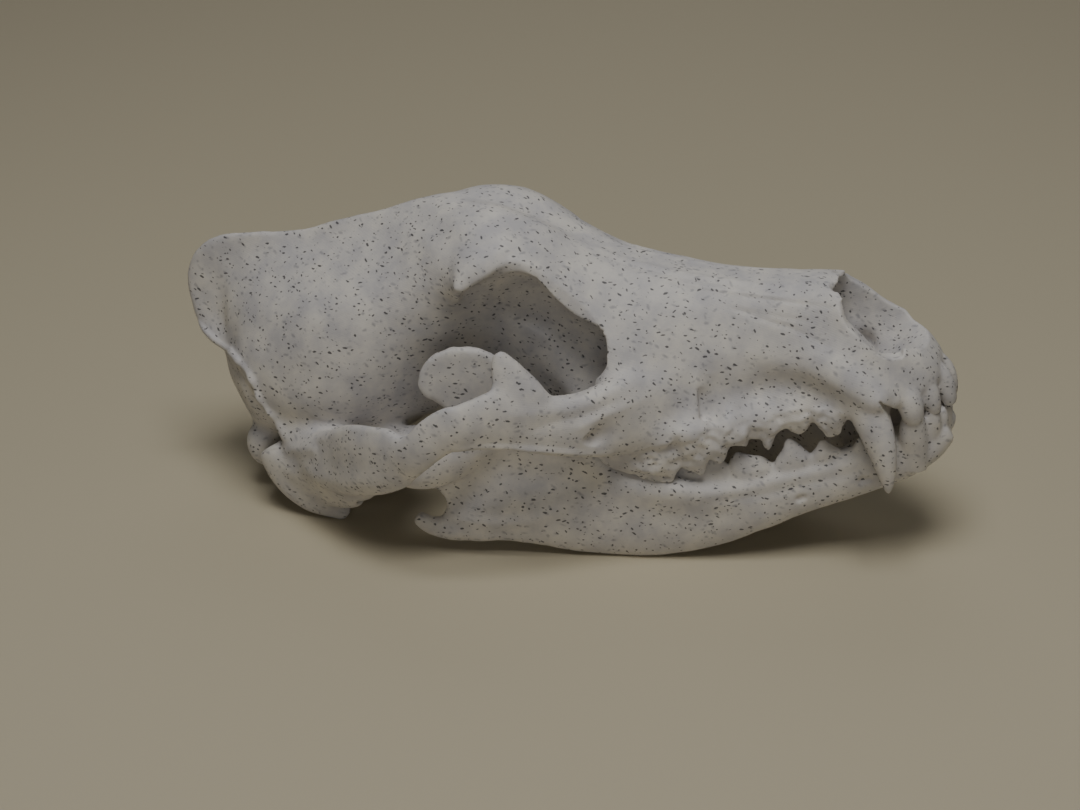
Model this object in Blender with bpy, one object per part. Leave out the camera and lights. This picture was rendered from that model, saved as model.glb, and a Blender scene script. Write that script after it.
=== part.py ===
"""A wolf skull with its lower jaw closed, as a moulded life-size replica that rests on its jaw.

The forms are laid out in the skull's own frame, in millimetres: x runs from the back of the crest
to the front teeth, y to the animal's left and z up from the gum line of the upper teeth. At the
end the skull is turned nose up as it rests and put on the floor, in metres.
"""

import math

import bmesh
import bpy
import numpy as np
from mathutils import Matrix, Vector

MM = 0.001
NOSE_UP = math.radians(13.5)
CUT_GAP = 0.3
FLAT_DEPTH = 0.6
SHARP_ANGLE = math.radians(50)
BONE_COLOUR = (0.66, 0.64, 0.63)
BONE_ROUGHNESS = 0.6

# Grain of the solids: the cube that the bone is rebuilt from, and the faces that are kept
VOXEL = 1.3
CRANIUM_FACES = 6400
JAW_FACES = 1300

# Where the cranium is parted: snout in front of this x, cheek arches outside this y
SNOUT_CUT_X = 144.0
ARCH_CUT_Y = 41.0
ARCH_REAR_X = 66.0

# Cross-sections of the cranium, back to front
# x, lowest z, highest z, then half widths at the six heights below
RING_HEIGHTS = (0.02, 0.25, 0.5, 0.72, 0.87, 0.98)
CRANIUM = [
    (5.5, 22, 60, 5, 9, 11, 8, 5, 3),
    (11, 13, 72, 9, 17, 18, 12, 7, 3),
    (20, 10, 84, 12, 26, 26, 17, 8.5, 2.6),
    (35, 9, 86, 14, 32, 31, 23.5, 12, 2.8),
    (50, 9, 86.5, 15, 34, 34, 28, 15, 3),
    (65, 10, 88, 14, 31, 34, 28.5, 15.5, 3.5),
    (80, 12, 89.5, 11, 24, 30, 27, 16.5, 4.5),
    (92, 14, 91, 10, 17, 26.5, 26.8, 18, 6.5),
    (102, 15, 92, 10, 14, 23.5, 27.5, 21.5, 10),
    (112, 15, 92.5, 11, 14, 19, 27, 24.6, 15),
    (125, 14, 90, 12, 15, 17, 27, 27, 17),
    (138, 8, 82.5, 17, 20, 19, 28, 26, 15),
    (148, 3, 73.5, 30, 35, 27, 28, 23, 12),
    (158, 2, 66.3, 34, 40, 36, 28, 21, 11),
    (168, 2, 61, 33.5, 36, 33, 26, 19, 10),
    (180, 2, 56.3, 31, 31, 28, 22.5, 17, 9),
    (195, 1.5, 51.2, 26, 26, 24, 19.5, 15, 8.5),
    (212, 0.5, 47.4, 20.5, 21, 20.5, 17.5, 13.5, 8),
    (228, 0, 44.8, 20.5, 21.5, 20.5, 16.5, 13, 8),
    (236, 0, 43.4, 22, 23, 21, 16.5, 13.5, 8.5),
    (240.5, 0, 42.4, 22.5, 23.5, 21, 17, 14.5, 8.5),
    (246, 0, 29, 21.5, 22.5, 21, 19.5, 17.5, 13),
    (252, 0, 22.5, 19.5, 20, 19, 18, 16.5, 13),
    (258, 0.5, 20.5, 17, 17.3, 16.5, 15, 13, 9),
    (264, 1, 16, 13, 13.5, 12.8, 11.5, 9.5, 6),
    (268.5, 2, 9, 7.5, 8, 7.5, 6.5, 5, 3),
]

# Upper edge of the sagittal crest: x and z, with half thickness at the edge
CREST = [
    (-4.8, 68, 1.9),
    (-4.4, 77, 1.9),
    (-1, 83.5, 1.8),
    (4, 88.3, 1.7),
    (11, 91.3, 1.6),
    (24, 91.3, 1.6),
    (42, 89.3, 1.6),
    (62, 91, 1.8),
    (82, 92.5, 2.4),
    (97, 94, 4.5),
    (108, 93.6, 7.5),
    (117, 91, 9),
]
CREST_ROOT_Z = 60.0

# Nuchal crest down one side: x, y, z, half thickness, half reach
NUCHAL = [
    (0.5, 1, 77, 2.2, 5.5),
    (0.5, -1.2, 67, 2.2, 6),
    (3, -3, 58.5, 2.2, 6.2),
    (8.6, -7.4, 53.3, 2.2, 6.5),
    (15.6, -11.2, 49.6, 2.2, 6.5),
    (21.6, -15.6, 45.4, 2.2, 6.5),
    (25.4, -20, 40, 2.3, 6.5),
    (28.4, -24, 33, 2.5, 6.5),
    (31.4, -27.4, 25, 2.8, 6.5),
    (35, -30, 16, 3.6, 6.5),
    (38, -31.6, 8, 4.5, 6.5),
]

# Bars and prongs of one side: x, y, z, half thickness, half height
CHEEK_ARCH = [
    (186, -18, 18, 5, 9),
    (172, -29, 17, 7, 13.5),
    (160, -38, 17, 6.5, 15.5),
    (152, -43.3, 18.5, 5.6, 13.5),
    (145, -47.8, 20.5, 4.8, 11.8),
    (137, -52.7, 23.5, 4.3, 10.2),
    (130, -56.7, 28.2, 4, 10.8),
    (122, -60.2, 31.4, 3.8, 10.8),
    (115, -62.8, 32.3, 3.6, 9.2),
    (107, -64.8, 32, 3.5, 8),
    (98, -65.8, 28.3, 3.5, 7.2),
    (90.5, -64.8, 24, 4.2, 7.6),
    (84, -62, 22, 5, 10.7),
    (75, -57.5, 20, 6.5, 12.7),
    (65, -51, 17.5, 8, 13),
    (55, -43.5, 14.5, 8, 12.5),
    (45, -36.5, 12.5, 7.5, 12),
    (35, -30, 12, 6, 11),
]
JUGAL_PRONG = [
    (131.5, -56, 29, 3.6, 12),
    (130.6, -55.4, 38, 3.4, 9.5),
    (128.8, -54.6, 45, 3, 6.8),
    (127.4, -54, 50.5, 2.5, 4.4),
    (126.8, -53.6, 54, 1.9, 2.4),
]
BROW_PRONG = [
    (121, -13, 78, 8, 17),
    (118, -21.5, 77.6, 7, 14.5),
    (115.4, -28, 75.8, 5.2, 9.5),
    (113, -32.4, 73.8, 3.7, 5.4),
    (111.3, -35.2, 72, 2.3, 2.6),
]
# The temporal line, which runs from the brow's prong back into the braincase
BROW_REAR = [
    (94, -17, 72, 4, 9),
    (100, -22, 70.5, 4, 10),
    (105, -26.5, 70, 3.4, 9),
    (109, -31, 70.4, 2.6, 6),
    (111, -34.4, 71, 1.8, 2.6),
]
PARAOCCIPITAL = [
    (22.5, -25.5, 15, 6, 8),
    (26.5, -28.6, 6, 5.2, 9),
    (34, -31, -3, 4.2, 9),
    (41.5, -32, -10.6, 3.5, 5.8),
    (45, -32, -15.7, 2.6, 3),
]
MASTOID = [
    (22.5, -28, 10, 5, 8),
    (38, -33.5, 3, 5, 10),
    (49, -38, 1, 5, 9.5),
    (58, -43, 4, 5, 7.5),
    (68, -47, 8, 4.5, 5.5),
]
SQUAMOSAL_ROOT = [
    (34, -27, 20, 7, 9),
    (46, -33, 19, 9, 9),
    (58, -38, 17.5, 9, 8),
    (69, -42, 18, 8, 6.5),
]
GLENOID_SHELF = [
    (72, -18, 15, 11, 5),
    (74, -32, 15.3, 10.5, 4.6),
    (76, -44, 16.2, 9.5, 5),
    (78, -55, 18, 8, 5.6),
]
POSTGLENOID = [
    (73, -34, 9, 3.4, 6),
    (73.5, -45, 9, 3.2, 5.6),
    (75, -54, 10.5, 3, 5),
]
PTERYGOID = [
    (146, -14, 9, 4, 6),
    (132, -12, 12, 2.6, 8),
    (118, -11.5, 12, 2.2, 8),
    (106, -11, 11, 2.2, 7),
    (98, -11, 10, 1.8, 4),
]

# The border that the upper teeth grow from, and the swelling over the canine's root
UPPER_GUM = [
    (262, -9, 3, 4, 3.4),
    (254, -16.5, 2.5, 4.5, 3.8),
    (245, -22.5, 2.5, 5, 4.2),
    (236, -21.5, 2, 4, 4.4),
    (226, -20.6, 2.2, 3.6, 4.4),
    (214, -21.4, 2.8, 3.6, 4.4),
    (204, -24.4, 3.2, 3.8, 4.4),
    (192, -29, 4, 4.2, 4.4),
    (180, -33, 5.2, 4.6, 4.4),
    (168, -36, 7, 4.8, 5),
    (156, -37, 7.4, 4.6, 6),
    (148, -35, 7.4, 4.4, 6.4),
]
CANINE_ROOT = [
    (248, -23, 2.5, 5.6, 6.5),
    (241, -21.6, 10.5, 5.2, 7),
    (232, -19.8, 17.5, 4.4, 6.8),
    (222, -17.5, 22, 3.4, 6),
]
# The rims of the nose opening, the left one standing a little higher
NOSE_RIM = [
    (237.5, -13.5, 35.5, 1.8, 3),
    (241, -15, 30.5, 2, 3),
    (246, -15.8, 23.2, 2.2, 3),
    (251, -15.4, 18.6, 2.6, 3),
    (257, -12.5, 16, 3, 3),
]
LEFT_RIM_RAISE = 2.8

# Round bodies of one side: x, y, z and three half sizes
CONDYLE = ((12, -14, 10), (6.5, 7, 8.5))
BULLA = ((56, -17, 8), (15, 10, 11.5))

# Outline of the orbit seen from the side, x and z, and how it goes in: y, shift ahead, shift up, size
ORBIT_RIM = [
    (111.5, 67.8),
    (117, 70.8),
    (123.5, 73.2),
    (130, 74.6),
    (134.5, 73.6),
    (139, 70),
    (143, 64.8),
    (146.8, 60),
    (151.8, 54.4),
    (157, 49.4),
    (158.8, 41),
    (157.2, 34.6),
    (152.6, 31),
    (146.4, 31),
    (141, 34.4),
    (136, 42.5),
    (132.5, 51),
    (121, 60),
    (113, 62.5),
]
ORBIT_MIDDLE = (138, 53)
ORBIT_DEPTHS = [
    (-78, 0, 0, 1),
    (-46, 0, 0, 1),
    (-32, 0, 0, 1),
    (-26, 2, -2, 1.05),
    (-18, 3, -4, 1.02),
    (-14, 2, -5, 0.8),
]
# Hollows: x, y, z and the half sizes
FORAMEN_MAGNUM = ((6, 0, 25), (14, 9, 7.5))
NASAL_HOLLOW = [
    (270, 0, 30.5, 15, 15),
    (257, 0, 28.8, 14.4, 15.5),
    (248, 0, 27.6, 14, 19.5),
    (241, 0, 27.2, 12.8, 20.5),
    (238.8, 0, 27, 12.4, 14),
    (228, 0, 27, 10, 11.5),
    (212, 0, 26, 5, 6),
]
# The notches in the nose opening's upper edge, beside the tip of the nasal bones
NASAL_NOTCH = ((240.6, -8.8, 44), (5.4, 4.4, 10.5))
CHOANA = [
    (86, 0, 10, 8, 9),
    (104, 0, 12, 8, 9),
    (124, 0, 12, 8, 7),
    (138, 0, 12, 7, 5),
]
PALATE_HOLLOW = [
    (128, 0, -9, 10, 12),
    (146, 0, -9, 21, 13),
    (165, 0, -10, 23, 15),
    (195, 0, -10, 18, 15),
    (215, 0, -10, 13, 14.5),
    (240, 0, -10, 14, 13.5),
    (256, 0, -9, 9, 11),
]
INFRAORBITAL = [
    (205, -31.5, 15.5, 3, 5),
    (196, -28.6, 16.5, 3.4, 6.5),
    (188, -26, 17.5, 3.2, 6.5),
    (180, -24, 18, 2.4, 5),
]
MALAR_FOSSA = [
    (149.5, -53, 15, 2.4, 2.2),
    (152.5, -50, 14.6, 4, 3.4),
    (157, -47.6, 14.4, 4.8, 4),
    (163, -45.2, 14.8, 3.8, 3.4),
    (171, -42.6, 16.4, 1.6, 1.8),
]
EAR_HOLE = [
    (59, -47, -7, 3, 3.4),
    (57, -34, 5, 2.8, 3),
]

# Lower jaw of one side: x, y, z, half thickness, half height
JAW_BODY = [
    (267, -5, -18, 4.5, 4.5),
    (261, -7, -20.3, 6, 7.3),
    (252, -9.5, -22.8, 7.5, 9.2),
    (243, -11.5, -24.6, 7.2, 9.8),
    (229, -15, -26.6, 6.2, 10),
    (213, -19.5, -27.7, 5.8, 10.9),
    (197, -23.5, -29, 5.8, 12.6),
    (176, -28, -29.3, 6, 15.1),
    (156, -31.5, -26, 5.8, 16.9),
    (140, -35, -22, 5, 16),
    (122, -39, -16.7, 4, 14),
    (106, -42.4, -15, 3.2, 10.4),
    (94, -44.5, -16, 3, 7.6),
    (87, -45.3, -17, 2.6, 5),
]
JAW_GUM = [
    (262, -6, -16.5, 3, 3.6),
    (250, -11.5, -19, 3.4, 4),
    (236, -15.2, -20.4, 3, 4),
    (225, -17.8, -21.2, 3, 4),
    (213, -20.6, -21.4, 3, 4),
    (200, -23.8, -22, 3.2, 4),
    (188, -26, -21.6, 3.4, 4),
    (175, -28, -18.6, 3.6, 4.4),
    (162, -30, -12.8, 3.6, 5),
    (151, -31.2, -8, 2.8, 5),
    (144, -34.5, -3.6, 3, 4.4),
]
SYMPHYSIS = [
    (267, -3, -18, 4, 4.5),
    (257, -3.5, -21.5, 5, 8),
    (246, -4, -25, 5.5, 8.5),
    (236, -5, -28, 4.5, 6.5),
    (227, -8, -30, 3, 4),
]
# Outline of the jaw's upright plate: x and z
RAMUS = [
    (158, -16),
    (149, -4),
    (141, 8),
    (132, 24),
    (123, 43),
    (116, 51),
    (107, 53.7),
    (99, 52.6),
    (93, 48),
    (90.8, 41),
    (92.4, 35.4),
    (97, 30.6),
    (99.6, 25.5),
    (98, 19),
    (93, 14.5),
    (87, 12),
    (84.5, 7),
    (87, 1),
    (90, -5),
    (88, -12.5),
    (96, -20),
    (116, -24),
    (140, -30),
]
RAMUS_THICK = 3.8
JAW_CONDYLE = ((84.3, -46, 6.6), (4.2, 9.5, 4))
JAW_ANGLE = [
    (98, -44, -17.5, 3, 6.6),
    (89, -45.5, -17, 2.8, 5.2),
    (82, -46, -14.5, 2.6, 4),
    (77.5, -46, -10.5, 2.3, 2.8),
]
# Raised front edge of the upright plate
RAMUS_FRONT = [
    (153, -33, -15, 3, 4),
    (144, -36, 1, 2.8, 3.6),
    (134, -38.5, 20, 2.8, 3.4),
    (124, -40, 38, 2.6, 3),
]

# Cusps of the upper teeth, front to back
# x, y and z at the gum, half length, half width, then x, y and z of the tip
UPPER_CUSPS = {
    "incisor_1": [(266.8, -3.5, 2.5, 3.7, 3.2, 270.6, -3.6, -10)],
    "incisor_2": [(262.4, -9.8, 2, 3.6, 3.4, 264.6, -10.8, -9.6)],
    "incisor_3": [(257, -14.6, 2, 4.3, 4, 260.6, -16.4, -8)],
    "premolar_1": [(229.5, -22, -1.2, 5.8, 2.8, 229, -22.4, -8)],
    "premolar_2": [(218.8, -21.6, -0.6, 5.6, 2.8, 217.8, -21.9, -6)],
    "premolar_3": [
        (209, -22.9, -0.2, 6, 2.9, 206, -24.2, -10),
        (203, -24.6, 0, 4.4, 2.8, 202.6, -24.9, -4.6),
    ],
    "carnassial": [
        (196.4, -27.4, 0.6, 4.8, 3, 198, -28.6, -4.8),
        (190.4, -30, 1, 5.4, 3.4, 190, -31, -9.6),
        (183, -32.4, 1.2, 5.8, 3.4, 182.6, -33.4, -12.4),
        (176, -34, 1.6, 5, 3.4, 175.8, -34.8, -8.4),
    ],
    "molar_1": [
        (170, -36.2, 2.4, 4.8, 3, 172.6, -37, -15.6),
        (163, -36.8, 2.8, 5, 3.2, 163.6, -37.4, -11.4),
        (165, -30.5, 2, 6, 5.4, 165, -29, -3.4),
    ],
    "molar_2": [
        (154, -36, 3, 4.6, 2.8, 155, -36.4, -7.2),
        (153, -29, 3, 4.2, 4.6, 153, -28.5, -2),
    ],
}
UPPER_CANINE = [
    (238.8, -19, 10, 3.6, 5.4),
    (243.2, -22.4, 1.5, 4.8, 7),
    (245.2, -25, -6, 4.6, 6.3),
    (246.2, -26.3, -13, 4, 5.3),
    (246.2, -27.2, -19.5, 3, 3.8),
    (246.2, -27.6, -25, 2, 2.4),
    (245.6, -27.5, -29.6, 0.7, 0.7),
]

# How a cusp narrows from gum to tip, and how far its root is sunk
CUSP_SWELL = ((0, 1), (0.45, 0.8), (0.82, 0.44), (1, 0.14))
CUSP_SIDES = 6
ROOT_DEPTH = 4.0

# The same for the lower teeth
LOWER_CUSPS = {
    "incisor_1": [(263.8, -2.4, -15.5, 2.2, 2.1, 265.4, -2.4, -7.4)],
    "incisor_2": [(262.6, -6.4, -15.5, 2.4, 2.2, 264, -6.6, -7)],
    "incisor_3": [(260.2, -10.2, -15.5, 2.8, 2.6, 261.4, -10.8, -6.6)],
    "canine": [(253, -14, -16.5, 4.8, 4.2, 253.8, -16.6, -3)],
    "premolar_1": [(236.5, -15.5, -16.5, 2.8, 2.2, 236.7, -15.6, -12.4)],
    "premolar_2": [(226, -17.8, -17.2, 5.2, 2.6, 225, -18.4, -9.6)],
    "premolar_3": [(214.5, -20.7, -17.4, 6.2, 2.8, 213.7, -21.2, -6.8)],
    "premolar_4": [
        (202.4, -23.6, -18, 6, 2.9, 202.4, -24.2, -10.6),
        (196.2, -24.8, -18, 4.2, 2.8, 195.8, -25.1, -11.6),
    ],
    "carnassial": [
        (187.5, -26, -17.6, 5.6, 2.8, 187.6, -26.2, -8.4),
        (179.5, -26.6, -16.6, 5.6, 2.8, 179.4, -26.6, -5.4),
        (170.5, -27, -14.2, 5.2, 2.8, 170, -26.8, -7.6),
    ],
    "molar_2": [(161, -28.6, -9.6, 4.8, 2.8, 161, -28.6, -6)],
    "molar_3": [(153.5, -30.6, -5.4, 2.6, 2.2, 153.5, -30.6, -2.8)],
}


def clear_scene():
    for item in list(bpy.data.objects):
        bpy.data.objects.remove(item)


def material_of(name, colour, roughness):
    """A plain finish for one sub-part."""
    material = bpy.data.materials.new(name)
    material.use_nodes = True
    shader = material.node_tree.nodes["Principled BSDF"]
    shader.inputs["Base Color"].default_value = (*colour, 1)
    shader.inputs["Roughness"].default_value = roughness
    shader.inputs["Metallic"].default_value = 0
    return material


def smooth_rows(rows, steps):
    """The rows and those between them, on a smooth curve through them."""
    rows = np.asarray(rows, float)
    lengths = np.linalg.norm(np.diff(rows[:, : min(3, rows.shape[1])], axis=0), axis=1)
    at = np.concatenate([[0], np.cumsum(lengths)])
    slopes = np.gradient(rows, at, axis=0)
    found = []
    for i, span in enumerate(lengths):
        for t in np.arange(steps) / steps:
            start = (1 + 2 * t) * (1 - t) ** 2 * rows[i] + t * (1 - t) ** 2 * span * slopes[i]
            end = t * t * (3 - 2 * t) * rows[i + 1] + t * t * (t - 1) * span * slopes[i + 1]
            found.append(start + end)
    found.append(rows[-1])
    return np.array(found)


def closed_curve(points, steps):
    """A smooth closed curve through the points."""
    points = np.asarray(points, float)
    found = []
    for i in range(len(points)):
        a, b, c, d = (points[(i + k) % len(points)] for k in (-1, 0, 1, 2))
        for t in np.arange(steps) / steps:
            bend = (2 * a - 5 * b + 4 * c - d) * t + (3 * b - a - 3 * c + d) * t * t
            found.append(b + 0.5 * t * (c - a + bend))
    return np.array(found)


def object_of(name, points, faces):
    """A mesh object from points in millimetres, its faces turned outwards."""
    mesh = bpy.data.meshes.new(name)
    mesh.from_pydata([Vector(p) * MM for p in points], [], faces)
    build = bmesh.new()
    build.from_mesh(mesh)
    bmesh.ops.recalc_face_normals(build, faces=build.faces)
    build.to_mesh(mesh)
    build.free()
    made = bpy.data.objects.new(name, mesh)
    bpy.context.collection.objects.link(made)
    return made


def skin_of_rings(name, rings):
    """A closed skin over rings of equal count, with a fan at each end."""
    count = len(rings[0])
    points = [point for ring in rings for point in ring]
    faces = []
    for i in range(len(rings) - 1):
        for k in range(count):
            near, far = i * count, (i + 1) * count
            faces.append((near + k, near + (k + 1) % count, far + (k + 1) % count, far + k))
    for ring, start in ((rings[0], 0), (rings[-1], (len(rings) - 1) * count)):
        points.append(np.mean(ring, axis=0))
        faces += [(start + k, start + (k + 1) % count, len(points) - 1) for k in range(count)]
    return object_of(name, points, faces)


def sections_skin(name, rows, steps=5, ring_steps=4):
    """The cranium's core: a skin over cross-sections that are alike left and right."""
    rings = []
    for x, low, high, *widths in smooth_rows(rows, steps):
        side = [(w, low + (high - low) * h) for w, h in zip(widths, RING_HEIGHTS)]
        outline = [(0, low), *side, (0, high), *[(-w, z) for w, z in reversed(side)]]
        rings.append([(x, y, z) for y, z in closed_curve(outline, ring_steps)])
    return skin_of_rings(name, rings)


def bar(name, rows, up=(0, 0, 1), steps=5, sides=16, corner=1.0):
    """A bent bar along x, y, z with a half thickness across and a half height along up."""
    rows = smooth_rows(rows, steps)
    path = rows[:, :3]
    tangents = np.gradient(path, axis=0)
    rings = []
    for place, tangent, (wide, tall) in zip(path, tangents, rows[:, 3:5]):
        ahead = Vector(tangent).normalized()
        across = ahead.cross(Vector(up)).normalized()
        above = across.cross(ahead).normalized()
        ring = []
        for turn in np.arange(sides) * 2 * math.pi / sides:
            c, s = math.cos(turn), math.sin(turn)
            a = math.copysign(abs(c) ** corner, c) * wide
            b = math.copysign(abs(s) ** corner, s) * tall
            ring.append(np.array(Vector(place) + across * a + above * b))
        rings.append(ring)
    return skin_of_rings(name, rings)


def ball(name, centre, halves, segments=24):
    """An ellipsoid."""
    build = bmesh.new()
    bmesh.ops.create_uvsphere(build, u_segments=segments, v_segments=segments // 2, radius=1)
    mesh = bpy.data.meshes.new(name)
    place = Matrix.Translation(Vector(centre) * MM) @ Matrix.Diagonal((*(h * MM for h in halves), 1))
    bmesh.ops.transform(build, matrix=place, verts=build.verts)
    build.to_mesh(mesh)
    build.free()
    made = bpy.data.objects.new(name, mesh)
    bpy.context.collection.objects.link(made)
    return made


def block(name, low, high):
    """A box between two corners, in millimetres."""
    corners = [(x, y, z) for x in (low[0], high[0]) for y in (low[1], high[1]) for z in (low[2], high[2])]
    faces = [(0, 1, 3, 2), (4, 6, 7, 5), (0, 4, 5, 1), (2, 3, 7, 6), (0, 2, 6, 4), (1, 5, 7, 3)]
    return object_of(name, corners, faces)


def crest_plate():
    """The sagittal crest: a thin upright plate, thick where it grows from the braincase."""
    rings = []
    for x, top, half in smooth_rows(CREST, 4):
        root = CREST_ROOT_Z
        mid = 0.5 * (root + top)
        side = [(half + 4, root), (half + 1.2, mid), (half, top - 1.2), (0.4 * half, top)]
        rings.append([(x, y, z) for y, z in side + [(-y, z) for y, z in reversed(side)]])
    return skin_of_rings("crest", rings)


def ramus_plate():
    """The upright plate of the right half of the jaw, which leans out towards the back."""
    outline = closed_curve(RAMUS, 3)
    points = []
    for face in (-0.5, 0.5):
        for x, z in outline:
            points.append((x, ramus_y(x, z) + face * RAMUS_THICK, z))
    count = len(outline)
    faces = [(k, (k + 1) % count, count + (k + 1) % count, count + k) for k in range(count)]
    faces.append(tuple(range(count)))
    faces.append(tuple(range(count, 2 * count)))
    return object_of("ramus", points, faces)


def ramus_y(x, z):
    """Where the middle of the upright plate lies at a place along and up it."""
    return -32 - 14 * (158 - x) / 78 + 0.03 * z


def mirrored(item):
    """A copy on the animal's other side."""
    copy = bpy.data.objects.new(item.name + "_l", item.data.copy())
    bpy.context.collection.objects.link(copy)
    build = bmesh.new()
    build.from_mesh(copy.data)
    bmesh.ops.scale(build, vec=(1, -1, 1), verts=build.verts)
    bmesh.ops.reverse_faces(build, faces=build.faces)
    build.to_mesh(copy.data)
    build.free()
    return copy


def both_sides(items):
    return items + [mirrored(item) for item in items]


def applied(item):
    """Puts the modifiers' result in the object's own mesh."""
    graph = bpy.context.evaluated_depsgraph_get()
    mesh = bpy.data.meshes.new_from_object(item.evaluated_get(graph))
    item.modifiers.clear()
    item.data = mesh
    return item


def joined(name, items):
    """One object that holds the meshes of all the items."""
    build = bmesh.new()
    for item in items:
        build.from_mesh(item.data)
        bpy.data.objects.remove(item)
    mesh = bpy.data.meshes.new(name)
    build.to_mesh(mesh)
    build.free()
    made = bpy.data.objects.new(name, mesh)
    bpy.context.collection.objects.link(made)
    return made


def rebuilt(item, voxel, smoothing):
    """The outer skin of overlapping shapes, made of even small faces and smoothed."""
    remesh = item.modifiers.new("rebuild", "REMESH")
    remesh.mode = "VOXEL"
    remesh.voxel_size = voxel * MM
    if smoothing:
        soften = item.modifiers.new("soften", "SMOOTH")
        soften.factor = 0.5
        soften.iterations = smoothing
    return applied(item)


def boolean(item, other, operation):
    """Cuts, keeps or adds the other object, and removes it."""
    cut = item.modifiers.new("boolean", "BOOLEAN")
    cut.operation = operation
    cut.solver = "EXACT"
    cut.object = other
    applied(item)
    bpy.data.objects.remove(other)
    return item


def add_all(item, others):
    """Fuses a collection of closed shapes with the object in one union."""
    group = bpy.data.collections.new("pieces")
    for other in others:
        group.objects.link(other)
    union = item.modifiers.new("union", "BOOLEAN")
    union.operation = "UNION"
    union.solver = "EXACT"
    union.operand_type = "COLLECTION"
    union.collection = group
    applied(item)
    for other in others:
        bpy.data.objects.remove(other)
    bpy.data.collections.remove(group)
    return item


def largest_surface(item):
    """Drops all but the largest closed surface."""
    build = bmesh.new()
    build.from_mesh(item.data)
    left = set(build.verts)
    pieces = []
    while left:
        piece = set()
        edge = [left.pop()]
        while edge:
            vert = edge.pop()
            piece.add(vert)
            for link in vert.link_edges:
                other = link.other_vert(vert)
                if other in left:
                    left.discard(other)
                    edge.append(other)
        pieces.append(piece)
    pieces.sort(key=len)
    scraps = [vert for piece in pieces[:-1] for vert in piece]
    bmesh.ops.delete(build, geom=scraps, context="VERTS")
    build.to_mesh(item.data)
    build.free()
    return item


def thinned(item, faces):
    """Fewer faces, in triangles."""
    triangles = item.modifiers.new("triangles", "TRIANGULATE")
    triangles.quad_method = "SHORTEST_DIAGONAL"
    applied(item)
    ratio = faces / len(item.data.polygons)
    if ratio < 1:
        thin = item.modifiers.new("thin", "DECIMATE")
        thin.ratio = ratio
        applied(item)
    return item


def cusp(name, gum_x, gum_y, gum_z, long, wide, tip_x, tip_y, tip_z):
    """One cusp of a tooth: a blunt cone with a swollen waist, its root sunk in the jaw."""
    gum = np.array([gum_x, gum_y, gum_z])
    tip = np.array([tip_x, tip_y, tip_z])
    sink = ROOT_DEPTH * (gum - tip) / np.linalg.norm(gum - tip)
    rows = [[*(gum + sink), 0.85 * wide, 0.9 * long]]
    for part_way, swell in CUSP_SWELL:
        rows.append([*(gum + (tip - gum) * part_way), wide * swell, long * swell])
    return bar(name, rows, up=(1, 0, 0), steps=1, sides=CUSP_SIDES)


def teeth(cusps):
    """The cusps of one side's teeth."""
    return [cusp(name, *sizes) for name, group in cusps.items() for sizes in group]


def orbit_hollow():
    """The eye socket's hollow, whose mouth has the orbit's outline."""
    middle = np.array(ORBIT_MIDDLE)
    outline = closed_curve(ORBIT_RIM, 2)
    rings = []
    for y, ahead, up, size in ORBIT_DEPTHS:
        ring = middle + (outline - middle) * size + (ahead, up)
        rings.append([(x, y, z) for x, z in ring])
    return skin_of_rings("orbit", rings)


def nose_rims():
    """The thin rims at the sides of the nose opening."""
    left = [(x, -y, z + LEFT_RIM_RAISE, thick, tall) for x, y, z, thick, tall in NOSE_RIM]
    return [bar("rim_right", NOSE_RIM), bar("rim_left", left)]


def cranium():
    """The skull without the lower jaw and the teeth, still in one piece."""
    core = [sections_skin("core", CRANIUM), crest_plate(), *nose_rims()]
    core += both_sides(
        [
            bar("nuchal", NUCHAL, up=(-1, -0.5, 0.1)),
            bar("gum", UPPER_GUM),
            bar("canine_root", CANINE_ROOT),
        ]
    )
    bone = rebuilt(joined("core", core), VOXEL, 4)
    boolean(bone, bar("nose", NASAL_HOLLOW, corner=0.8), "DIFFERENCE")
    right = [
        bar("arch", CHEEK_ARCH),
        bar("jugal_prong", JUGAL_PRONG, up=(0.9, 0.45, 0)),
        bar("brow_prong", BROW_PRONG, up=(1, 0, 0)),
        bar("brow_rear", BROW_REAR),
        bar("paraoccipital", PARAOCCIPITAL, up=(1, 0, 0)),
        bar("mastoid", MASTOID),
        bar("squamosal_root", SQUAMOSAL_ROOT),
        bar("glenoid_shelf", GLENOID_SHELF),
        bar("postglenoid", POSTGLENOID),
        bar("pterygoid", PTERYGOID),
        ball("condyle", *CONDYLE),
        ball("bulla", *BULLA),
    ]
    bone = rebuilt(joined("cranium", [bone] + both_sides(right)), VOXEL, 3)
    hollows = both_sides(
        [
            orbit_hollow(),
            bar("infraorbital", INFRAORBITAL),
            bar("malar", MALAR_FOSSA),
            bar("ear_hole", EAR_HOLE),
            ball("nasal_notch", *NASAL_NOTCH),
        ]
    )
    hollows += [
        ball("foramen", *FORAMEN_MAGNUM),
        bar("choana", CHOANA),
        bar("palate", PALATE_HOLLOW),
    ]
    for hollow in hollows:
        boolean(bone, hollow, "DIFFERENCE")
    return rebuilt(bone, VOXEL, 1)


def jaw():
    """The right half of the lower jaw, without teeth."""
    shapes = [
        bar("body", JAW_BODY, corner=0.8),
        bar("gum", JAW_GUM),
        bar("symphysis", SYMPHYSIS),
        ramus_plate(),
        bar("ramus_front", RAMUS_FRONT, up=(1, 0, 0.5)),
        ball("condyle", *JAW_CONDYLE),
        bar("angle", JAW_ANGLE),
    ]
    bone = rebuilt(joined("mandible_right", shapes), VOXEL, 3)
    half = block("midline", (200, -CUT_GAP / 2, -60), (300, 30, 20))
    return boolean(bone, half, "DIFFERENCE")


def copy_of(item, name):
    copy = bpy.data.objects.new(name, item.data.copy())
    bpy.context.collection.objects.link(copy)
    return copy


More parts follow.
